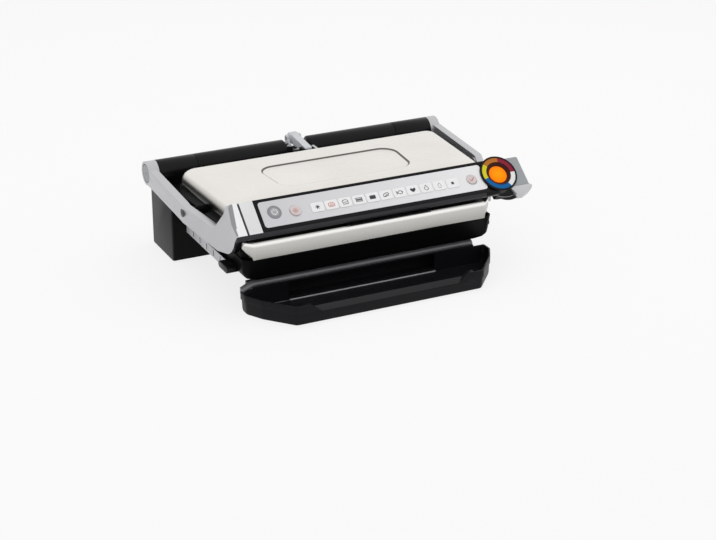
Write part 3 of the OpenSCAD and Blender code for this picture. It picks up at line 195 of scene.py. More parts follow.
# painted shade: a dark copy of the brushed steel for the walls round the sunk badge field
badge_wall_painted_shade = brushed("pressed_edge_painted_shade", (0.13, 0.125, 0.12), 0.34)
band_steel = brushed("band_steel", (0.40, 0.395, 0.375), 0.27)
silver = finish_of("satin_silver", (0.53, 0.53, 0.55), 0.36, metal=0.75, vary=0.02, grain=(5200, 0.03, 2))
silver_dark = finish_of("trim_silver", (0.74, 0.74, 0.745), 0.38, metal=0.7, vary=0.02, grain=(5200, 0.02, 2))
# painted reflection: a dark silver for the arm's wide rounded edge, painted dark reflection
silver_edge_painted_reflection = finish_of("silver_edge_painted_reflection", (0.30, 0.30, 0.31), 0.40, metal=0.8, vary=0.02, grain=(5200, 0.03, 2))
# painted highlight: a bright silver for the top of the arm's front end
silver_painted_highlight = finish_of("silver_painted_highlight", (0.86, 0.86, 0.87), 0.36, metal=0.7, vary=0.02,
                          grain=(5200, 0.03, 2))
groove = finish_of("groove_grey", (0.055, 0.055, 0.06), 0.5, spec=0.2, vary=0.05, grain=(3000, 0.04, 1))
panel = finish_of("panel_silver", (0.64, 0.635, 0.66), 0.40, metal=0.30, spec=0.25, vary=0.015,
                  grain=(6000, 0.02, 2))
vent = finish_of("vent_grey", (0.60, 0.60, 0.63), 0.42, spec=0.3, vary=0.03, grain=(3000, 0.05, 2))
cap = finish_of("cap_grey", (0.335, 0.35, 0.36), 0.36, metal=0.7, vary=0.03, grain=(4200, 0.03, 2))
# painted light: a lighter copy of the cap's grey for its rounded faces
cap_painted_light = finish_of("cap_painted_light", (0.58, 0.575, 0.59), 0.34, metal=0.7, vary=0.03, grain=(4200, 0.03, 2))
hubcap = finish_of("hubcap_grey", (0.30, 0.31, 0.32), 0.36, metal=0.8, vary=0.05, grain=(4200, 0.03, 2))
plate = finish_of("nonstick", (0.030, 0.030, 0.032), 0.34, metal=0.1, vary=0.12, grain=(1500, 0.10, 3))
element = finish_of("heating_tube", (0.23, 0.20, 0.18), 0.42, metal=0.9, vary=0.25, patch=22,
                    grain=(1900, 0.08, 2))
sheet = brushed("plain_sheet", (0.55, 0.55, 0.53), 0.36)
zinc = finish_of("zinc_steel", (0.55, 0.55, 0.57), 0.30, metal=1.0, vary=0.06, grain=(2800, 0.05, 2))
screw = finish_of("dark_screw", (0.035, 0.035, 0.04), 0.34, metal=0.9, vary=0.08, grain=(2800, 0.05, 2))
rubber = finish_of("rubber", (0.018, 0.018, 0.018), 0.72, spec=0.2, grain=(1500, 0.12, 2))
grip = finish_of("soft_grip", (0.030, 0.029, 0.033), 0.50, spec=0.22, grain=(3400, 0.10, 2))
board = finish_of("solder_mask", (0.02, 0.12, 0.05), 0.35, vary=0.15, patch=120, grain=(2000, 0.04, 2))
milky = finish_of("milky_plastic", (0.60, 0.61, 0.64), 0.30, spec=0.35, vary=0.04, grain=(2500, 0.03, 2))
key_white = finish_of("key_white", (0.93, 0.93, 0.93), 0.34, spec=0.3, vary=0.015, grain=(3000, 0.02, 1))
key_grey = finish_of("key_grey", (0.28, 0.28, 0.30), 0.36, metal=0.3, vary=0.03, grain=(3000, 0.02, 1))
key_centre = finish_of("key_centre", (0.42, 0.42, 0.44), 0.36, metal=0.2, vary=0.03, grain=(3000, 0.02, 1))
key_rose = finish_of("key_rose", (0.72, 0.64, 0.64), 0.32, spec=0.3, vary=0.03, grain=(3000, 0.02, 1))
rose_rim = finish_of("rose_rim", (0.33, 0.27, 0.26), 0.34, metal=0.4, vary=0.05, grain=(3000, 0.02, 1))
collar_brown = finish_of("lens_collar", (0.050, 0.010, 0.005), 0.30, spec=0.12, vary=0.1)
ink = finish_of("ink_grey", (0.055, 0.055, 0.065), 0.5, spec=0.2, vary=0.1)
ink_light = finish_of("ink_light", (0.20, 0.20, 0.22), 0.5, spec=0.2, vary=0.1)
ink_red = finish_of("ink_red", (0.62, 0.20, 0.16), 0.5, spec=0.2, vary=0.06)
ink_rose = finish_of("ink_rose", (0.74, 0.36, 0.32), 0.5, spec=0.2, vary=0.06)

# painted light and shade: painted shade darkens the lid down its steep sides; the band has three painted
# grades by height, lighter upwards, a painted highlight on its rounded top and a painted shadow at its top
# edge; painted light makes the panel lighter on the right
graded(steel, (0.10, 0.095, 0.09), 2, 0.72, 0.06, of="Normal")
graded(band_steel, (0.60, 0.59, 0.57), 2, 92, 111)
graded(band_steel, (0.95, 0.94, 0.92), 2, 109.8, 112.6)
graded(band_steel, (0.30, 0.295, 0.28), 2, 114.8, 117.2)
graded(panel, (0.86, 0.86, 0.87), 0, -190, 190)

# ---- panel frame ----
TILT = math.radians(40.3)
PU = Vector((1, 0, 0))                             # along the handle
PV = Vector((0, math.cos(TILT), math.sin(TILT)))   # up the slope
PN = Vector((0, -math.sin(TILT), math.cos(TILT)))  # out of the panel
PO = at(0, -95.1, 167.6)                           # the middle of its top edge
DIAL_X, DIAL_T = 231.0, 22.3                       # the dial's centre on the panel


def on_panel(x, t, n=0.0):
    """x along the handle, t down the slope, n above the panel plane, millimetres."""
    return PO + PU * (x * MM) - PV * (t * MM) + PN * (n * MM)


def dial_colours():
    """The ring's printed colours, by the angle round the dial."""
    m = bpy.data.materials.new("ring_print")
    m.use_nodes = True
    nt = m.node_tree
    b = nt.nodes["Principled BSDF"]
    b.inputs["Specular IOR Level"].default_value = 0.08
    centre = on_panel(DIAL_X, DIAL_T)
    coord = node(nt, "ShaderNodeTexCoord")
    arm = node(nt, "ShaderNodeVectorMath", operation="SUBTRACT")
    arm.inputs[1].default_value = centre
    link(nt, coord.outputs["Object"], arm.inputs[0])
    parts = []
    for axis in (PU, PV):
        d = node(nt, "ShaderNodeVectorMath", operation="DOT_PRODUCT")
        d.inputs[1].default_value = axis
        link(nt, arm.outputs[0], d.inputs[0])
        parts.append(d.outputs["Value"])
    angle = node(nt, "ShaderNodeMath", operation="ARCTAN2")
    link(nt, parts[1], angle.inputs[0])
    link(nt, parts[0], angle.inputs[1])
    share = node(nt, "ShaderNodeMapRange")
    share.inputs["From Min"].default_value = -math.pi
    share.inputs["From Max"].default_value = math.pi
    link(nt, angle.outputs[0], share.inputs["Value"])
    ramp = node(nt, "ShaderNodeValToRGB")
    ramp.color_ramp.interpolation = "CONSTANT"
    yellow, amber, crimson = (0.72, 0.66, 0.03), (0.52, 0.18, 0.03), (0.27, 0.022, 0.045)
    white, blue = (0.88, 0.88, 0.87), (0.008, 0.13, 0.38)
    # stops run anticlockwise from the dial's left side (-180 degrees)
    stops = [(-180, yellow), (-168, blue), (-62, white), (-3, crimson), (72, amber), (134, yellow)]
    element_list = ramp.color_ramp.elements
    while len(element_list) > 1:
        element_list.remove(element_list[-1])
    for i, (degrees, colour) in enumerate(stops):
        e = element_list[0] if i == 0 else element_list.new((degrees + 180) / 360)
        e.position = (degrees + 180) / 360
        e.color = (*colour, 1)
    link(nt, share.outputs["Result"], ramp.inputs["Fac"])
    link(nt, ramp.outputs["Color"], b.inputs["Base Color"])
    link(nt, remap(nt, noise(nt, coord.outputs["Object"], 300), 0.28, 0.36), b.inputs["Roughness"])
    return m


def lens_glow():
    """Lit amber lens, a little yellower in the middle."""
    middle, edge = 0.002, 0.0175                   # metres from the lens's centre
    m = bpy.data.materials.new("lens_orange")
    m.use_nodes = True
    nt = m.node_tree
    b = nt.nodes["Principled BSDF"]
    b.inputs["Specular IOR Level"].default_value = 0.06
    coord = node(nt, "ShaderNodeTexCoord")
    d = node(nt, "ShaderNodeVectorMath", operation="DISTANCE")
    d.inputs[1].default_value = on_panel(DIAL_X, DIAL_T, 0)
    link(nt, coord.outputs["Object"], d.inputs[0])
    near = remap(nt, d.outputs["Value"], 1, 0, middle, edge)
    warm = two_colours(nt, near, (0.95, 0.17, 0.0), (0.98, 0.27, 0.002))
    link(nt, warm, b.inputs["Base Color"])
    link(nt, warm, b.inputs["Emission Color"])
    b.inputs["Emission Strength"].default_value = 0.42
    b.inputs["Roughness"].default_value = 0.3
    return m


ring_print, lens_orange = dial_colours(), lens_glow()

FINISH = {
    "base_housing": black, "front_band": band_steel, "rear_housing": charcoal, "bottom_cover": black,
    "vent_strips": vent, "feet": rubber, "cord_gland": rubber, "power_board": board, "lower_plate": plate,
    "lower_element": element, "lower_reflector": sheet, "plate_sensor": zinc, "housing_screws": zinc,
    "catch_left": black_fine, "catch_right": black_fine, "catch_spring_left": zinc,
    "catch_spring_right": zinc, "hinge_shaft": zinc, "hinge_tubes": black_fine, "arm_left": silver,
    "arm_right": silver, "hub_caps": hubcap, "lid_pins": screw, "handle_shell": gloss,
    "end_trim": silver_dark, "panel_plate": panel, "control_board": board, "dial_cup": gloss,
    "dial_ring": ring_print, "dial_lens": lens_orange, "end_cap": cap, "grip": grip, "link_axle": screw,
    "link_pin": screw, "lid_cover": steel, "lid_frame": black, "upper_plate": plate,
    "upper_element": element, "upper_reflector": sheet, "upper_catches": zinc, "link_arm": milky,
    "drip_tray": tray_black, "power_button": key_grey, "frost_button": key_rose,
    "confirm_button": key_rose,
}
KEYS = 11
for i in range(1, KEYS + 1):
    FINISH[f"key_{i}"] = key_white
for name, material in FINISH.items():
    data = nodes[name].data
    data.materials.clear()
    data.materials.append(material)


# ---- building helpers ----
def add_piece(name, verts, faces, material, body, smooth=None):
    """A mesh piece in the row frame that rides on a body; smooth is the crease angle in degrees."""
    mesh = bpy.data.meshes.new(name)
    mesh.from_pydata([tuple(v) for v in verts], [], faces)
    mesh.validate()
    bm = bmesh.new()
    bm.from_mesh(mesh)
    bmesh.ops.remove_doubles(bm, verts=bm.verts, dist=1e-6)
    bmesh.ops.recalc_face_normals(bm, faces=bm.faces)
    bm.to_mesh(mesh)
    bm.free()
    return place_mesh(name, mesh, material, body, smooth)


def place_mesh(name, mesh, material, body, smooth=None):
    """An object for the mesh, with one finish, that rides on a body."""
    if smooth is not None:
        mesh.shade_smooth()
        mesh.set_sharp_from_angle(angle=math.radians(smooth))
    obj = bpy.data.objects.new(name, mesh)
    scene.collection.objects.link(obj)
    mesh.materials.append(material)
    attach(obj, body)
    return obj


def corner(a, b, c, r, n):
    """The n + 1 points of the arc of radius r that rounds corner b of a-b-c."""
    a, b, c = Vector(a), Vector(b), Vector(c)
    u, v = (a - b).normalized(), (c - b).normalized()
    half = math.acos(max(-1.0, min(1.0, u.dot(v)))) / 2
    m = b + (u + v).normalized() * r / math.sin(half)
    p, q = b + u * r / math.tan(half), b + v * r / math.tan(half)
    a0, a1 = math.atan2(p.y - m.y, p.x - m.x), math.atan2(q.y - m.y, q.x - m.x)
    turn = (a1 - a0 + math.pi) % (2 * math.pi) - math.pi
    return [(m.x + r * math.cos(a0 + turn * i / n), m.y + r * math.sin(a0 + turn * i / n))
            for i in range(n + 1)]


def rounded(points, r, n):
    """The closed outline through the points, with every corner rounded to radius r in n steps."""
    k = len(points)
    return [p for i in range(k) for p in corner(points[i - 1], points[i], points[(i + 1) % k], r, n)]


def loft(rings, closed=True, cap_first=False, cap_last=False):
    """Vertices and faces of a skin through rings of equal count."""
    k = len(rings[0])
    verts = [p for ring in rings for p in ring]
    faces = []
    for j in range(len(rings) - 1):
        for i in range(k if closed else k - 1):
            a, b = j * k + i, j * k + (i + 1) % k
            faces.append((a, b, b + k, a + k))
    if cap_first:
        faces.append(tuple(reversed(range(k))))
    if cap_last:
        faces.append(tuple(range((len(rings) - 1) * k, len(rings) * k)))
    return verts, faces


def applied(obj, *modifiers):
    """The object's mesh with these modifiers (type, settings) worked in."""
    for kind, settings in modifiers:
        mod = obj.modifiers.new(kind.lower(), kind)
        for key, value in settings.items():
            setattr(mod, key, value)
    done = bpy.data.meshes.new_from_object(obj.evaluated_get(bpy.context.evaluated_depsgraph_get()))
    obj.modifiers.clear()
    old, obj.data = obj.data, done
    bpy.data.meshes.remove(old)
    return obj


SHARP = math.radians(32)           # edges from this angle on are rounded
FLAT = math.radians(0.6)           # facets below this angle are joined first
CREASE = 40                        # degrees, shading


def soften(name, body, width, segments=2, paint=(), wide=None):
    """A copy of a CAD node with rounded edges, which then stands for it. paint gives other finishes, painted
    light and shade among them, to faces by (x, y, z, normal) in the working axes, wide gives some edges a
    larger rounding."""
    bm = bmesh.new()
    bm.from_mesh(nodes[name].data)
    bmesh.ops.remove_doubles(bm, verts=bm.verts, dist=3e-6)
    bmesh.ops.dissolve_limit(bm, angle_limit=FLAT, verts=bm.verts, edges=bm.edges,
                             use_dissolve_boundaries=False)

    def where(v):
        return v.x / MM + OX, v.y / MM + OY, v.z / MM

    def sharp():
        return [e for e in bm.edges if len(e.link_faces) == 2 and e.calc_face_angle(0) > SHARP]

    if wide:
        test, size, steps = wide
        edges = [e for e in sharp() if test(*where((e.verts[0].co + e.verts[1].co) / 2),
                                            *(f.normal for f in e.link_faces))]
        bmesh.ops.bevel(bm, geom=edges, offset=size * MM, offset_type="OFFSET", segments=steps,
                        profile=0.5, affect="EDGES", clamp_overlap=False)
    bmesh.ops.bevel(bm, geom=sharp(), offset=width * MM, offset_type="OFFSET", segments=segments,
                    profile=0.5, affect="EDGES", clamp_overlap=True)
    bmesh.ops.recalc_face_normals(bm, faces=bm.faces)
    mesh = bpy.data.meshes.new(name + "_soft")
    bm.to_mesh(mesh)
    bm.free()
    mesh.materials.clear()
    obj = place_mesh(name + "_soft", mesh, FINISH[name], body, CREASE)
    for index, (material, test) in enumerate(paint, 1):
        mesh.materials.append(material)
        for f in mesh.polygons:
            if test(*where(f.center), f.normal):
                f.material_index = index
    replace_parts(obj, name)


def ring_points(r, n, x=0.0, y=0.0, a0=0.0, a1=360.0):
    """Points round a circle at x, y, or round an arc of it, its end included."""
    full = abs(a1 - a0) >= 360
    count = n if full else n + 1
    return [(x + r * math.cos(math.radians(a0 + (a1 - a0) * i / n)),
             y + r * math.sin(math.radians(a0 + (a1 - a0) * i / n))) for i in range(count)]


INK = 0.05                         # thickness of a print, millimetres


class Print:
    """Flat marks on the panel or a button, drawn k times their size: filled outlines and lines."""

    def __init__(self, x, t, n, k=1.0):
        self.x, self.t, self.n, self.k = x, t, n, k
        self.verts, self.faces = [], []

    def fill(self, outline):
        k, base = len(outline), len(self.verts)
        for n in (self.n, self.n + INK):
            self.verts += [on_panel(self.x + p[0] * self.k, self.t - p[1] * self.k, n) for p in outline]
        self.faces.append(tuple(base + i for i in reversed(range(k))))
        self.faces.append(tuple(base + k + i for i in range(k)))
        self.faces += [(base + i, base + (i + 1) % k, base + k + (i + 1) % k, base + k + i)
                       for i in range(k)]

    def line(self, path, w, closed=False):
        """A mitred line of width w along the path."""
        k = len(path)
        left, right = [], []
        for i, (x, y) in enumerate(path):
            before = path[i - 1] if (i or closed) else None
            after = path[(i + 1) % k] if (i < k - 1 or closed) else None
            dirs = [d for d in (before and (x - before[0], y - before[1]),
                                after and (after[0] - x, after[1] - y)) if d]
            units = [(d[0] / math.hypot(*d), d[1] / math.hypot(*d)) for d in dirs]
            sx, sy = sum(u[0] for u in units), sum(u[1] for u in units)
            size = math.hypot(sx, sy) or 1.0
            nx, ny = -sy / size, sx / size
            stretch = 1 / max(0.5, abs(nx * -units[0][1] + ny * units[0][0]))
            left.append((x + nx * w / 2 * stretch, y + ny * w / 2 * stretch))
            right.append((x - nx * w / 2 * stretch, y - ny * w / 2 * stretch))
        base = len(self.verts)
        for n in (self.n, self.n + INK):
            self.verts += [on_panel(self.x + p[0] * self.k, self.t - p[1] * self.k, n) for p in left + right]
        for i in range(k if closed else k - 1):
            j = (i + 1) % k
            lo, hi = base, base + 2 * k
            self.faces += [(hi + i, hi + k + i, hi + k + j, hi + j), (lo + i, lo + j, lo + k + j, lo + k + i),
                           (lo + i, hi + i, hi + j, lo + j), (lo + k + i, lo + k + j, hi + k + j, hi + k + i)]
        if not closed:
            for i in (0, k - 1):
                self.faces.append((base + i, base + k + i, base + 3 * k + i, base + 2 * k + i))

    def make(self, name, material, body):
        return add_piece(name, self.verts, self.faces, material, body)


# ---- lid cover: rolled edges, pressed badge field ----
LID_FRONT, LID_BACK = -80, 108                     # y
LID_FRONT_HALF, LID_BACK_HALF = 221, 230           # half widths there
LID_CORNER = 18                                    # radius in plan
LID_FOOT, LID_ROLL_Z, LID_TOP = 140, 146, 166      # skirt's foot, start of the roll, flat top
LID_ROLL, LID_ROLL_STEPS = 20, 12
LID_SHEET = 1.2
BADGE_FRONT, BADGE_BACK = -48, 49                  # y
BADGE_FRONT_HALF, BADGE_BACK_HALF = 113, 121
BADGE_CORNER, BADGE_SINK = 26, 2.0
EAR_HALF, EAR_FRONT, EAR_BACK = 13.2, 84, 125      # the slot for the link arm's ears
EAR_LOW, EAR_HIGH = 138, 163.5


def outline(front, back, front_half, back_half, radius, steps=12):
    """A rounded outline, symmetric about the middle, with its own widths at the front and the back."""
    return rounded([(-front_half, front), (front_half, front), (back_half, back), (-back_half, back)],
                   radius, steps)


def lid_ring(d, z):
    """The cover's outline drawn in by d."""
    plan = outline(LID_FRONT + d, LID_BACK - d, LID_FRONT_HALF - d, LID_BACK_HALF - d, LID_CORNER - d / 2)
    return [at(x, y, z) for x, y in plan]


def badge_ring(g, z):
    """The badge field's outline grown by g."""
    plan = outline(BADGE_FRONT - g, BADGE_BACK + g, BADGE_FRONT_HALF + g, BADGE_BACK_HALF + g,
                   BADGE_CORNER + g)
    return [at(x, y, z) for x, y in plan]


rings = [lid_ring(0, LID_FOOT), lid_ring(0, LID_FOOT + 3)]
for i in range(LID_ROLL_STEPS + 1):
    turn = math.radians(90 * i / LID_ROLL_STEPS)
    rings.append(lid_ring(LID_ROLL * (1 - math.cos(turn)), LID_ROLL_Z + LID_ROLL * math.sin(turn)))
badge_wall_profile = [(6, 0), (1.0, 0), (0.6, 0.15), (-1.8, 1.7), (-2.4, 1.95), (-6, BADGE_SINK)]
rings += [badge_ring(g, LID_TOP - depth) for g, depth in badge_wall_profile]
verts, faces = loft(rings, cap_last=True)
cover = add_piece("lid_cover_sheet", verts, faces, steel, "lid")
cover = applied(cover, ("SOLIDIFY", {"thickness": LID_SHEET * MM, "offset": -1}))

slot_mesh = bpy.data.meshes.new("ear_slot")
slot_plan = [(-EAR_HALF, EAR_FRONT), (EAR_HALF, EAR_FRONT), (EAR_HALF, EAR_BACK), (-EAR_HALF, EAR_BACK)]
slot_mesh.from_pydata([tuple(at(x, y, z)) for z in (EAR_LOW, EAR_HIGH) for x, y in slot_plan], [],
                      [(0, 3, 2, 1), (4, 5, 6, 7), (0, 1, 5, 4), (1, 2, 6, 5), (2, 3, 7, 6), (3, 0, 4, 7)])
slot_box = bpy.data.objects.new("ear_slot", slot_mesh)
scene.collection.objects.link(slot_box)
cover = applied(cover, ("BOOLEAN", {"operation": "DIFFERENCE", "solver": "EXACT", "object": slot_box}))
bpy.data.objects.remove(slot_box)
mesh = cover.data
mesh.materials.clear()
mesh.materials.append(steel)
mesh.materials.append(badge_wall_painted_shade)
# the walls of the sunk badge field get the painted shade, the rest the steel
for f in mesh.polygons:
    c = f.center
    level = (LID_TOP - BADGE_SINK + 0.1) * MM < c.z < (LID_TOP - 0.1) * MM and f.normal.z > 0.1
    x, y = c.x / MM + OX, c.y / MM + OY
    inside = abs(x) < BADGE_BACK_HALF + 3 and BADGE_FRONT - 3 < y < BADGE_BACK + 3
    f.material_index = 1 if level and inside else 0
mesh.shade_smooth()
mesh.set_sharp_from_angle(angle=math.radians(38))
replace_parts(cover, "lid_cover")


# ---- stainless band round the base's front: rounded top edge, ends that run out to a point ----
BAND_HALF, BAND_FRONT = 214.65, -128.8             # the band's outer face, at the side and in front
BAND_END, BAND_CUT = -108, 16                      # where it ends at the sides, cut of its front corners
BAND_TOP = 117.7
RUN_OUT_START, RUN_OUT = -125.5, 19                # the ends lose their height from here, over this length


def band_path(d):
    """The band's line in plan, drawn in by d."""
    x, y0 = BAND_HALF - d, BAND_FRONT + d
    near = corner((-x, BAND_END), (-x, y0 + BAND_CUT), (-x + BAND_CUT, y0), 10, 8)
    front = corner((-x, y0 + BAND_CUT), (-x + BAND_CUT, y0), (x - BAND_CUT, y0), 6, 8)
    left = [(-x, BAND_END)] + near + front
    return left + [(-px, py) for px, py in reversed(left)]


def band_share(y):
    """How much of the band's height is left at this place on its drawn-back ends."""
    return max(0.10, min(1.0, 1 - (y - RUN_OUT_START) / RUN_OUT))


# depth behind the outer face and height, from the lower edge over the front and back down inside
profile = [(1.5, 88.7), (0.8, 88.8), (0.2, 89.3), (0, 90.2), (0, 98), (0, 108), (0.05, 111.4),
           (0.25, 113.2), (0.6, 114.9), (1.05, 116.4), (1.5, 117.4), (1.58, BAND_TOP), (1.58, 110),
           (1.58, 97)]
rings = [[at(x, y, BAND_TOP - (BAND_TOP - z) * band_share(y)) for x, y in band_path(d)] for d, z in profile]
rings.append(rings[0])
k, last = len(rings[0]), len(profile)
verts, faces = loft(rings, closed=False)
faces.append(tuple(j * k for j in range(last)))
faces.append(tuple(j * k + k - 1 for j in reversed(range(last))))
band = add_piece("front_band_sheet", verts, faces, band_steel, "base", smooth=50)
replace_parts(band, "front_band")


# ---- return springs: round wire, closed ends ----
SPRING_IN, SPRING_OUT = 203.1, 214.2               # x of its ends
SPRING_Y, SPRING_Z = -74, 63.5
SPRING_R, WIRE_R, TURNS = 3.3, 0.48, 6             # mean radius, wire radius
END_SHARE, END_LIFT = 0.12, 0.10                   # each closed end's share of the wire and of the rise


def coil_lift(s):
    """How far along the spring the wire has come at share s of its length."""
    if s <= END_SHARE:
        return s / END_SHARE * END_LIFT
    if s >= 1 - END_SHARE:
        return 1 - END_LIFT + (s - (1 - END_SHARE)) / END_SHARE * END_LIFT
    return END_LIFT + (1 - 2 * END_LIFT) * (s - END_SHARE) / (1 - 2 * END_SHARE)


def helix(name, side):
    """One spring that rests against the housing and shortens from its outer end."""
    sides, per = 12, 28
    length, rings = SPRING_OUT - SPRING_IN - 2 * WIRE_R, []
    for i in range(TURNS * per + 1):
        s = i / (TURNS * per)
        a = 2 * math.pi * TURNS * s
        x = SPRING_IN + WIRE_R + length * coil_lift(s)
        ring = []
        for j in range(sides):
            b = 2 * math.pi * j / sides
            r = SPRING_R + WIRE_R * math.cos(b)
            ring.append(at(side * (x + WIRE_R * math.sin(b)), SPRING_Y + r * math.cos(a),
                           SPRING_Z + r * math.sin(a)))
        rings.append(ring)
    verts, faces = loft(rings, cap_first=True, cap_last=True)
    spring = add_piece(name, verts, faces, zinc, "base", smooth=60)
    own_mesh(spring)
    return spring


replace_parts(helix("spring_left", -1), "catch_spring_left")
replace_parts(helix("spring_right", 1), "catch_spring_right")

# ---- rounded edges on the moulded and cast parts ----
SHELL_END = 207.2                                  # where the silver end of the left arm starts
GROOVE_W = 3.75                                    # the dark joint beside it
ARM_FRONT = -86                                    # the arm's front end lies before this y


def arm_edge(x, y, z, one, two):
    """The long edge between the arm's outer face and the top of its front end."""
    side, top = (one, two) if one.x < two.x else (two, one)
    return y < ARM_FRONT and z > 138 and side.x < -0.8 and top.x > -0.3 and (top.z > 0.3 or top.y < -0.5)


def on_arm_edge(x, y, z, n):
    return y < ARM_FRONT - 2 and z > 136 and -0.88 < n.x < -0.12 and n.z > -0.2


def on_arm_top(x, y, z, n):
    return y < ARM_FRONT - 2 and z > 118 and n.x >= -0.12 and n.z > 0.2


def in_arm_groove(x, y, z, n):
    return SHELL_END - 0.2 < abs(x) < SHELL_END + GROOVE_W and y < ARM_FRONT + 2 and n.z > -0.9


def under_arm(x, y, z, n):
    return y < ARM_FRONT - 6 and z < 131 and n.z < -0.2


def on_cap_bevel(x, y, z, n):
    """Every face of the end cap but the one that lies in the panel's plane."""
    return n.dot(PN) < 0.94


def on_tube_middle(x, y, z, n):
    """The upper side of the short middle tube, which carries the link arm."""
    return abs(x) < 13 and z > 151


def on_hub_groove(x, y, z, n):
    """The ring of each hub round its disc, by the distance from the shaft."""
    return math.hypot(y - 164, z - 142) > 12.8


# mask for the painted light on the rear housing's sides
def on_housing_side(x, y, z, n):
    return abs(n.x) > 0.5


def on_boss(x, y, z, n):
    """The round bosses on top of the rear housing's ends."""
    return z > 121.3 and abs(x) > 180


def in_vent_slot(x, y, z, n):
    return abs(x) < 216.5


# mask for the tray's painted top light
def faces_up(x, y, z, n):
    return n.z > 0.6


def on_link_tab(x, y, z, n):
    """The lid's right ear, the bright tab at the link arm's head."""
    return 8 < x < 13.2 and y > 100 and z > 147


# left arm: painted dark reflection on its rounded edge, a painted highlight on its top, then the dark joint
# and the gloss black underside
ARM_PAINT = [(silver_edge_painted_reflection, on_arm_edge), (silver_painted_highlight, on_arm_top), (groove, in_arm_groove),
             (gloss, under_arm)]
soften("arm_left", "handle_frame", 0.8, paint=ARM_PAINT, wide=(arm_edge, 4.4, 5))
soften("arm_right", "handle_frame", 1.5, segments=3)
soften("end_trim", "handle_frame", 0.9)
soften("handle_shell", "handle_frame", 0.5)
soften("grip", "handle_frame", 1.0)
# the end cap's faces out of the panel's plane get painted light
soften("end_cap", "handle_frame", 0.7, paint=[(cap_painted_light, on_cap_bevel)])
soften("hinge_tubes", "handle_frame", 0.6, paint=[(milky, on_tube_middle)])
soften("hub_caps", "handle_frame", 0.3, paint=[(groove, on_hub_groove)])
# the rear housing's side faces get painted light
soften("rear_housing", "base", 0.8, paint=[(side_painted_light, on_housing_side), (black_fine, on_boss)])
soften("base_housing", "base", 0.6)
soften("vent_strips", "base", 0.4, paint=[(black, in_vent_slot)])
# the tray's upward faces get the painted top light
soften("drip_tray", "tray", 0.5, paint=[(black_painted_top_light, faces_up)])
soften("catch_left", "left_catch", 0.7)
soften("catch_right", "right_catch", 0.7)
soften("link_arm", "link", 0.9)
soften("lid_frame", "lid", 0.5, paint=[(sheet, on_link_tab)])


# ---- painted highlights: light strips standing for the lit lip of the tray's covered part and the lit line along its sill ----
def bar(name, profile, path, material, body):
    """A strip that follows a path of (x, dy, dz) with one (y, z) profile."""
    rings = [[at(x, y + dy, z + dz) for y, z in profile] for x, dy, dz in path]
    verts, faces = loft(rings, cap_first=True, cap_last=True)
    return add_piece(name, verts, faces, material, body, smooth=50)


lip = [(-103.6, 34.6), (-104.4, 36.8), (-105.7, 37.4), (-105.9, 38.6), (-105.4, 40.6), (-104.2, 42.6),
       (-102.4, 44.0), (-100.2, 44.7), (-98.0, 44.8), (-98.0, 34.9)]
bar("tray_lip_highlight", lip, [(-212, -1.2, -8.6), (-207, -0.5, -6.6), (-200, 0, -3.4), (-194, 0, -0.8),
                      (-188, 0, 0), (180, 0, 0), (188, 0, -0.6), (191, 0, -1.6)], lip_painted_highlight, "tray")
sill = [(-110.3, 3.4), (-110.5, 4.4), (-110.0, 5.1), (-109.2, 5.2), (-109.2, 3.4)]
bar("tray_sill_highlight", sill, [(-133.5, 0, 0), (-60, 0, 0), (60, 0, 0), (121.5, 0, 0)], sill_painted_highlight, "tray")
thin = [(y, 3.4 + (z - 3.4) * 0.5) for y, z in sill]
bar("left_end_sill_highlight", thin, [(-163, 0, 0), (-150, 0, 0), (-134, 0, 0)], lip_painted_highlight, "tray")

# ---- painted highlight: a thin light rim low on the dial's foot ----
FOOT_X, FOOT_T, FOOT_N = DIAL_X + 9.4, 27.2, -14.8     # its centre, below the panel's plane
FOOT_R, FOOT_THICK = 31.0, 0.35
FOOT_FROM, FOOT_SWEEP, FOOT_STEPS = -128, 90, 24   # degrees
rings = []
for i in range(FOOT_STEPS + 1):
    a = math.radians(FOOT_FROM + FOOT_SWEEP * i / FOOT_STEPS)
    h = 0.3 + 1.5 * math.sin(math.pi * i / FOOT_STEPS)
    rim = [(FOOT_R, -h), (FOOT_R + FOOT_THICK, -h * 0.6), (FOOT_R + FOOT_THICK, h * 0.6), (FOOT_R, h)]
    rings.append([on_panel(FOOT_X + r * math.cos(a), FOOT_T - r * math.sin(a), FOOT_N + n) for r, n in rim])
verts, faces = loft(rings, cap_first=True, cap_last=True)
add_piece("dial_foot_painted_highlight", verts, faces, hubcap, "handle_frame", smooth=50)

# ---- collar between the dial's ring and its lens ----
# radius and height above the panel, round the collar's section
COLLAR = [(20.25, 1.50), (19.6, 1.42), (15.2, -1.20), (15.0, -1.45), (15.3, -1.75), (20.1, 1.20)]
rings = [[on_panel(DIAL_X + x, DIAL_T - y, n) for x, y in ring_points(r, 64)] for r, n in COLLAR]
rings.append(rings[0])
verts, faces = loft(rings)
add_piece("dial_collar", verts, faces, collar_brown, "handle_frame", smooth=40)


# ---- icons on the keys ----
LINE = 0.85                                        # line width of most icons


def spoke(a, r):
    """The point at radius r and angle a in degrees."""
    return r * math.cos(math.radians(a)), r * math.sin(math.radians(a))


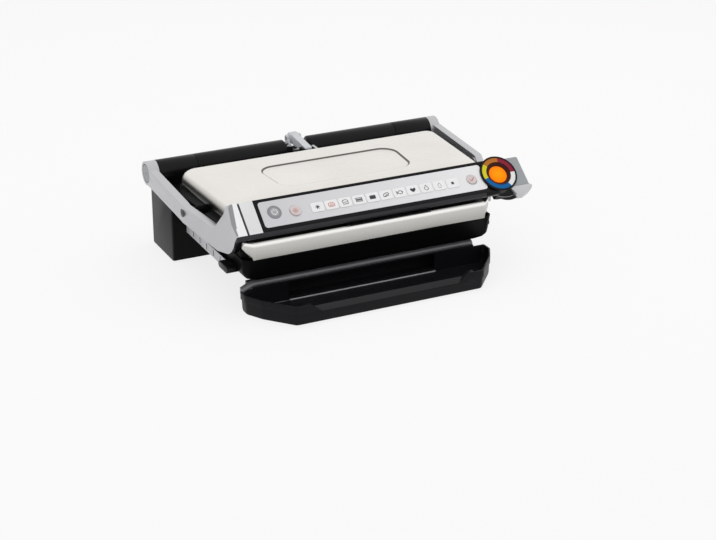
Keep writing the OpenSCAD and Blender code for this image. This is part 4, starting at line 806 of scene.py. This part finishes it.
def icon_shapes(i, p):
    """Draws the icon of mode key i on the print p, about 9 mm wide before it is scaled."""
    w = LINE
    if i == 1:        # frost star
        for a in (0, 60, 120):
            p.line([spoke(a + 180, 3.2), spoke(a, 3.2)], 0.9)
        p.fill(ring_points(1.5, 12))
    elif i == 2:      # sandwich
        p.line([(-4.4, -1.2), (-3.4, 2.0), (0, 2.9), (3.4, 2.0), (4.4, -1.2)], w)
        p.line([(-4.4, -1.2), (4.4, -1.2)], w)
        p.line([(-4.0, -2.7), (4.0, -2.7)], w)
        p.line([(-2.0, 0.6), (2.0, 0.6)], w)
    elif i == 3:      # burger
        p.line([(-4, 0.6)] + [(4 * math.cos(math.radians(a)), 0.6 + 2.7 * math.sin(math.radians(a)))
                              for a in range(162, 0, -18)] + [(4, 0.6)], w)
        p.fill([(-4.2, -0.6), (4.2, -0.6), (4.2, 0.2), (-4.2, 0.2)])
        p.line([(-3.8, -1.4), (-3.2, -2.8), (3.2, -2.8), (3.8, -1.4)], w)
    elif i == 4:      # filled bread
        p.line([(-4.2, 2.4), (4.2, 2.4), (4.2, 0.6), (-4.2, 0.6)], w, True)
        p.fill([(-4.2, -0.4), (4.2, -0.4), (4.2, 0.2), (-4.2, 0.2)])
        p.line([(-4.2, -1.0), (4.2, -1.0), (4.2, -2.6), (-4.2, -2.6)], w, True)
    elif i == 5:      # slice of meat
        p.fill([(-4.0, -2.6), (3.4, -2.6), (4.2, -1.8), (4.2, 2.2), (3.4, 2.8), (-3.2, 2.8), (-4.2, 1.8),
                (-4.2, -2.2)])
    elif i == 6:      # sausages
        p.line([(-3.9, -0.4), (-3.2, 1.2), (0, 2.6), (3.0, 2.6), (4.0, 1.4), (3.2, 0.2), (0.4, 0.0),
                (-2.4, -2.4), (-3.6, -2.0)], w, True)
        p.line([(-1.6, -2.6), (1.8, -1.2), (3.6, -1.4)], w)
    elif i == 7:      # fish
        p.line([(-4.6, 2.0), (-2.6, 0.4), (0.4, 2.4), (3.0, 1.8), (4.6, 0.0), (3.0, -1.8), (0.4, -2.4),
                (-2.6, -0.4), (-4.6, -2.0), (-3.9, 0.0)], w, True)
        p.fill(ring_points(0.5, 8, 2.6, 0.5))
    elif i == 8:      # poultry piece
        p.fill([(0, -3.2), (2.6, -1.2), (4.0, 0.8), (3.6, 2.6), (2.0, 3.0), (0, 1.9), (-2.0, 3.0),
                (-3.6, 2.6), (-4.0, 0.8), (-2.6, -1.2)])
    elif i == 9:      # vegetable
        p.line([(0, 3.8), (1.4, 1.6), (2.7, -0.6), (2.4, -2.4), (0, -3.4), (-2.4, -2.4), (-2.7, -0.6),
                (-1.4, 1.6)], 0.75, True)
    elif i == 10:     # pepper
        p.line([(0.3, 3.9), (0.2, 2.4)], w)
        p.line([(0, 2.4), (1.9, 1.8), (2.2, -0.4), (1.2, -3.2), (0, -3.6), (-1.2, -3.2), (-2.2, -0.4),
                (-1.9, 1.8)], 0.5, True)
    else:             # manual
        p.fill([(-1.8, -1.8), (1.8, -1.8), (1.8, 1.8), (-1.8, 1.8)])


KEY_X, KEY_T, KEY_PITCH = -87.0, 24.5, 23.4
ICON_SCALE = 1.22
PROUD = 0.8                                        # the buttons' tops above the panel
POWER_X, POWER_T = -157, 20.3
FROST_X, CONFIRM_X, BUTTON_T = -123.5, 182, 24
LOW, MIDDLE, HIGH = PROUD + 0.07, PROUD + 0.09, PROUD + 0.11     # prints on the round buttons
for i in range(1, KEYS + 1):
    mark = Print(KEY_X + (i - 1) * KEY_PITCH, KEY_T, PROUD - 0.01, k=ICON_SCALE)
    icon_shapes(i, mark)
    mark.make(f"icon_{i}", {2: ink_red, 10: ink_light}.get(i, ink), f"mode_key_{i}")

# start and stop: a lighter disc with an open ring and a bar
mark = Print(POWER_X, POWER_T, LOW)
mark.fill(ring_points(6.9, 32))
mark.make("power_centre", key_centre, "power_key")
mark = Print(POWER_X, POWER_T, HIGH)
mark.line(ring_points(4.3, 20, 0, 0, 125, 415), 0.8)
mark.line([(0, 1.4), (0, 5.4)], 0.8)
mark.make("icon_power", key_white, "power_key")

# frozen food: a darker rim on one side and a snowflake
mark = Print(FROST_X, BUTTON_T, MIDDLE)
mark.line(ring_points(8.6, 16, 0, 0, 165, 300), 1.0)
mark.make("rim_frost", rose_rim, "frost_key")
mark = Print(FROST_X, BUTTON_T, HIGH)
for a in (0, 60, 120):
    mark.line([spoke(a + 180, 4.6), spoke(a, 4.6)], 0.6)
    for turned in (a + 180, a):
        x, y = spoke(turned, 2.6)
        for d in (-50, 50):
            dx, dy = spoke(turned + d, 1.7)
            mark.line([(x, y), (x + dx, y + dy)], 0.5)
mark.make("icon_frost", ink_rose, "frost_key")

# confirm: a darker rim on one side and a tick
mark = Print(CONFIRM_X, BUTTON_T, MIDDLE)
mark.line(ring_points(8.1, 16, 0, 0, 190, 330), 0.9)
mark.make("rim_confirm", rose_rim, "confirm_key")
mark = Print(CONFIRM_X, BUTTON_T, HIGH)
mark.line([(-4.0, 0.2), (-1.2, -2.8), (4.2, 3.2)], 1.1)
mark.make("icon_confirm", ink_red, "confirm_key")


# ---- floor, backdrop light and lamps ----
FLOOR_HALF, FLOOR_GREY, FLOOR_WHITE = 14, 0.86, 0.80       # metres, its colour, the share shown white
ROOM = 0.62                                                # the world's strength as a light
LAMP_AIM = Vector((0, 0, 0.1))


def background_share(nt, share):
    """That share for the rays that see the background, and 0 for those that only light the object."""
    path = node(nt, "ShaderNodeLightPath")
    seen = path.outputs["Is Camera Ray"]
    for other in ("Is Glossy Ray", "Is Transmission Ray"):
        both = node(nt, "ShaderNodeMath", operation="MAXIMUM")
        link(nt, seen, both.inputs[0])
        link(nt, path.outputs[other], both.inputs[1])
        seen = both.outputs[0]
    part = node(nt, "ShaderNodeMath", operation="MULTIPLY")
    part.inputs[1].default_value = share
    link(nt, seen, part.inputs[0])
    return part.outputs[0]


def seen_white(nt, share, lit, white, output):
    """Sends lit, mixed with the white shader for the rays that see the background, to the output node."""
    mix = node(nt, "ShaderNodeMixShader")
    link(nt, background_share(nt, share), mix.inputs[0])
    link(nt, lit.outputs[0], mix.inputs[1])
    link(nt, white.outputs[0], mix.inputs[2])
    link(nt, mix.outputs[0], nt.nodes[output].inputs["Surface"])


h = FLOOR_HALF
floor_mesh = bpy.data.meshes.new("floor")
floor_mesh.from_pydata([(-h, -h, 0), (h, -h, 0), (h, h, 0), (-h, h, 0)], [], [(0, 1, 2, 3)])
floor = bpy.data.objects.new("floor", floor_mesh)
scene.collection.objects.link(floor)
floor_mat = bpy.data.materials.new("floor")
floor_mat.use_nodes = True
nt = floor_mat.node_tree
matte = nt.nodes["Principled BSDF"]
matte.inputs["Base Color"].default_value = (FLOOR_GREY, FLOOR_GREY, FLOOR_GREY, 1)
matte.inputs["Roughness"].default_value = 0.9
matte.inputs["Specular IOR Level"].default_value = 0.0
glow = node(nt, "ShaderNodeEmission", Color=(1, 1, 1, 1), Strength=1.0)
seen_white(nt, FLOOR_WHITE, matte, glow, "Material Output")
floor_mesh.materials.append(floor_mat)

world = bpy.data.worlds.new("studio")
scene.world = world
world.use_nodes = True
nt = world.node_tree
room = nt.nodes["Background"]
room.inputs["Color"].default_value = (1, 1, 1, 1)
room.inputs["Strength"].default_value = ROOM
white_view = node(nt, "ShaderNodeBackground", Color=(1, 1, 1, 1), Strength=1.0)
seen_white(nt, 1.0, room, white_view, "World Output")


def softbox(name, place, size, power):
    """A soft lamp that lights the object and isn't seen in its metal; metres and watts."""
    data = bpy.data.lights.new(name, "AREA")
    data.shape = "RECTANGLE"
    data.size, data.size_y = size
    data.energy = power
    lamp = bpy.data.objects.new(name, data)
    scene.collection.objects.link(lamp)
    lamp.visible_glossy = False
    lamp.location = place
    lamp.rotation_euler = (Vector(place) - LAMP_AIM).to_track_quat("Z", "Y").to_euler()


softbox("softbox_top", (0.25, 0.45, 2.1), (3.0, 2.4), 19)
softbox("softbox_left", (-1.9, -1.1, 1.2), (1.2, 1.2), 4.5)
softbox("softbox_right", (1.9, -0.8, 1.1), (1.0, 1.2), 3)
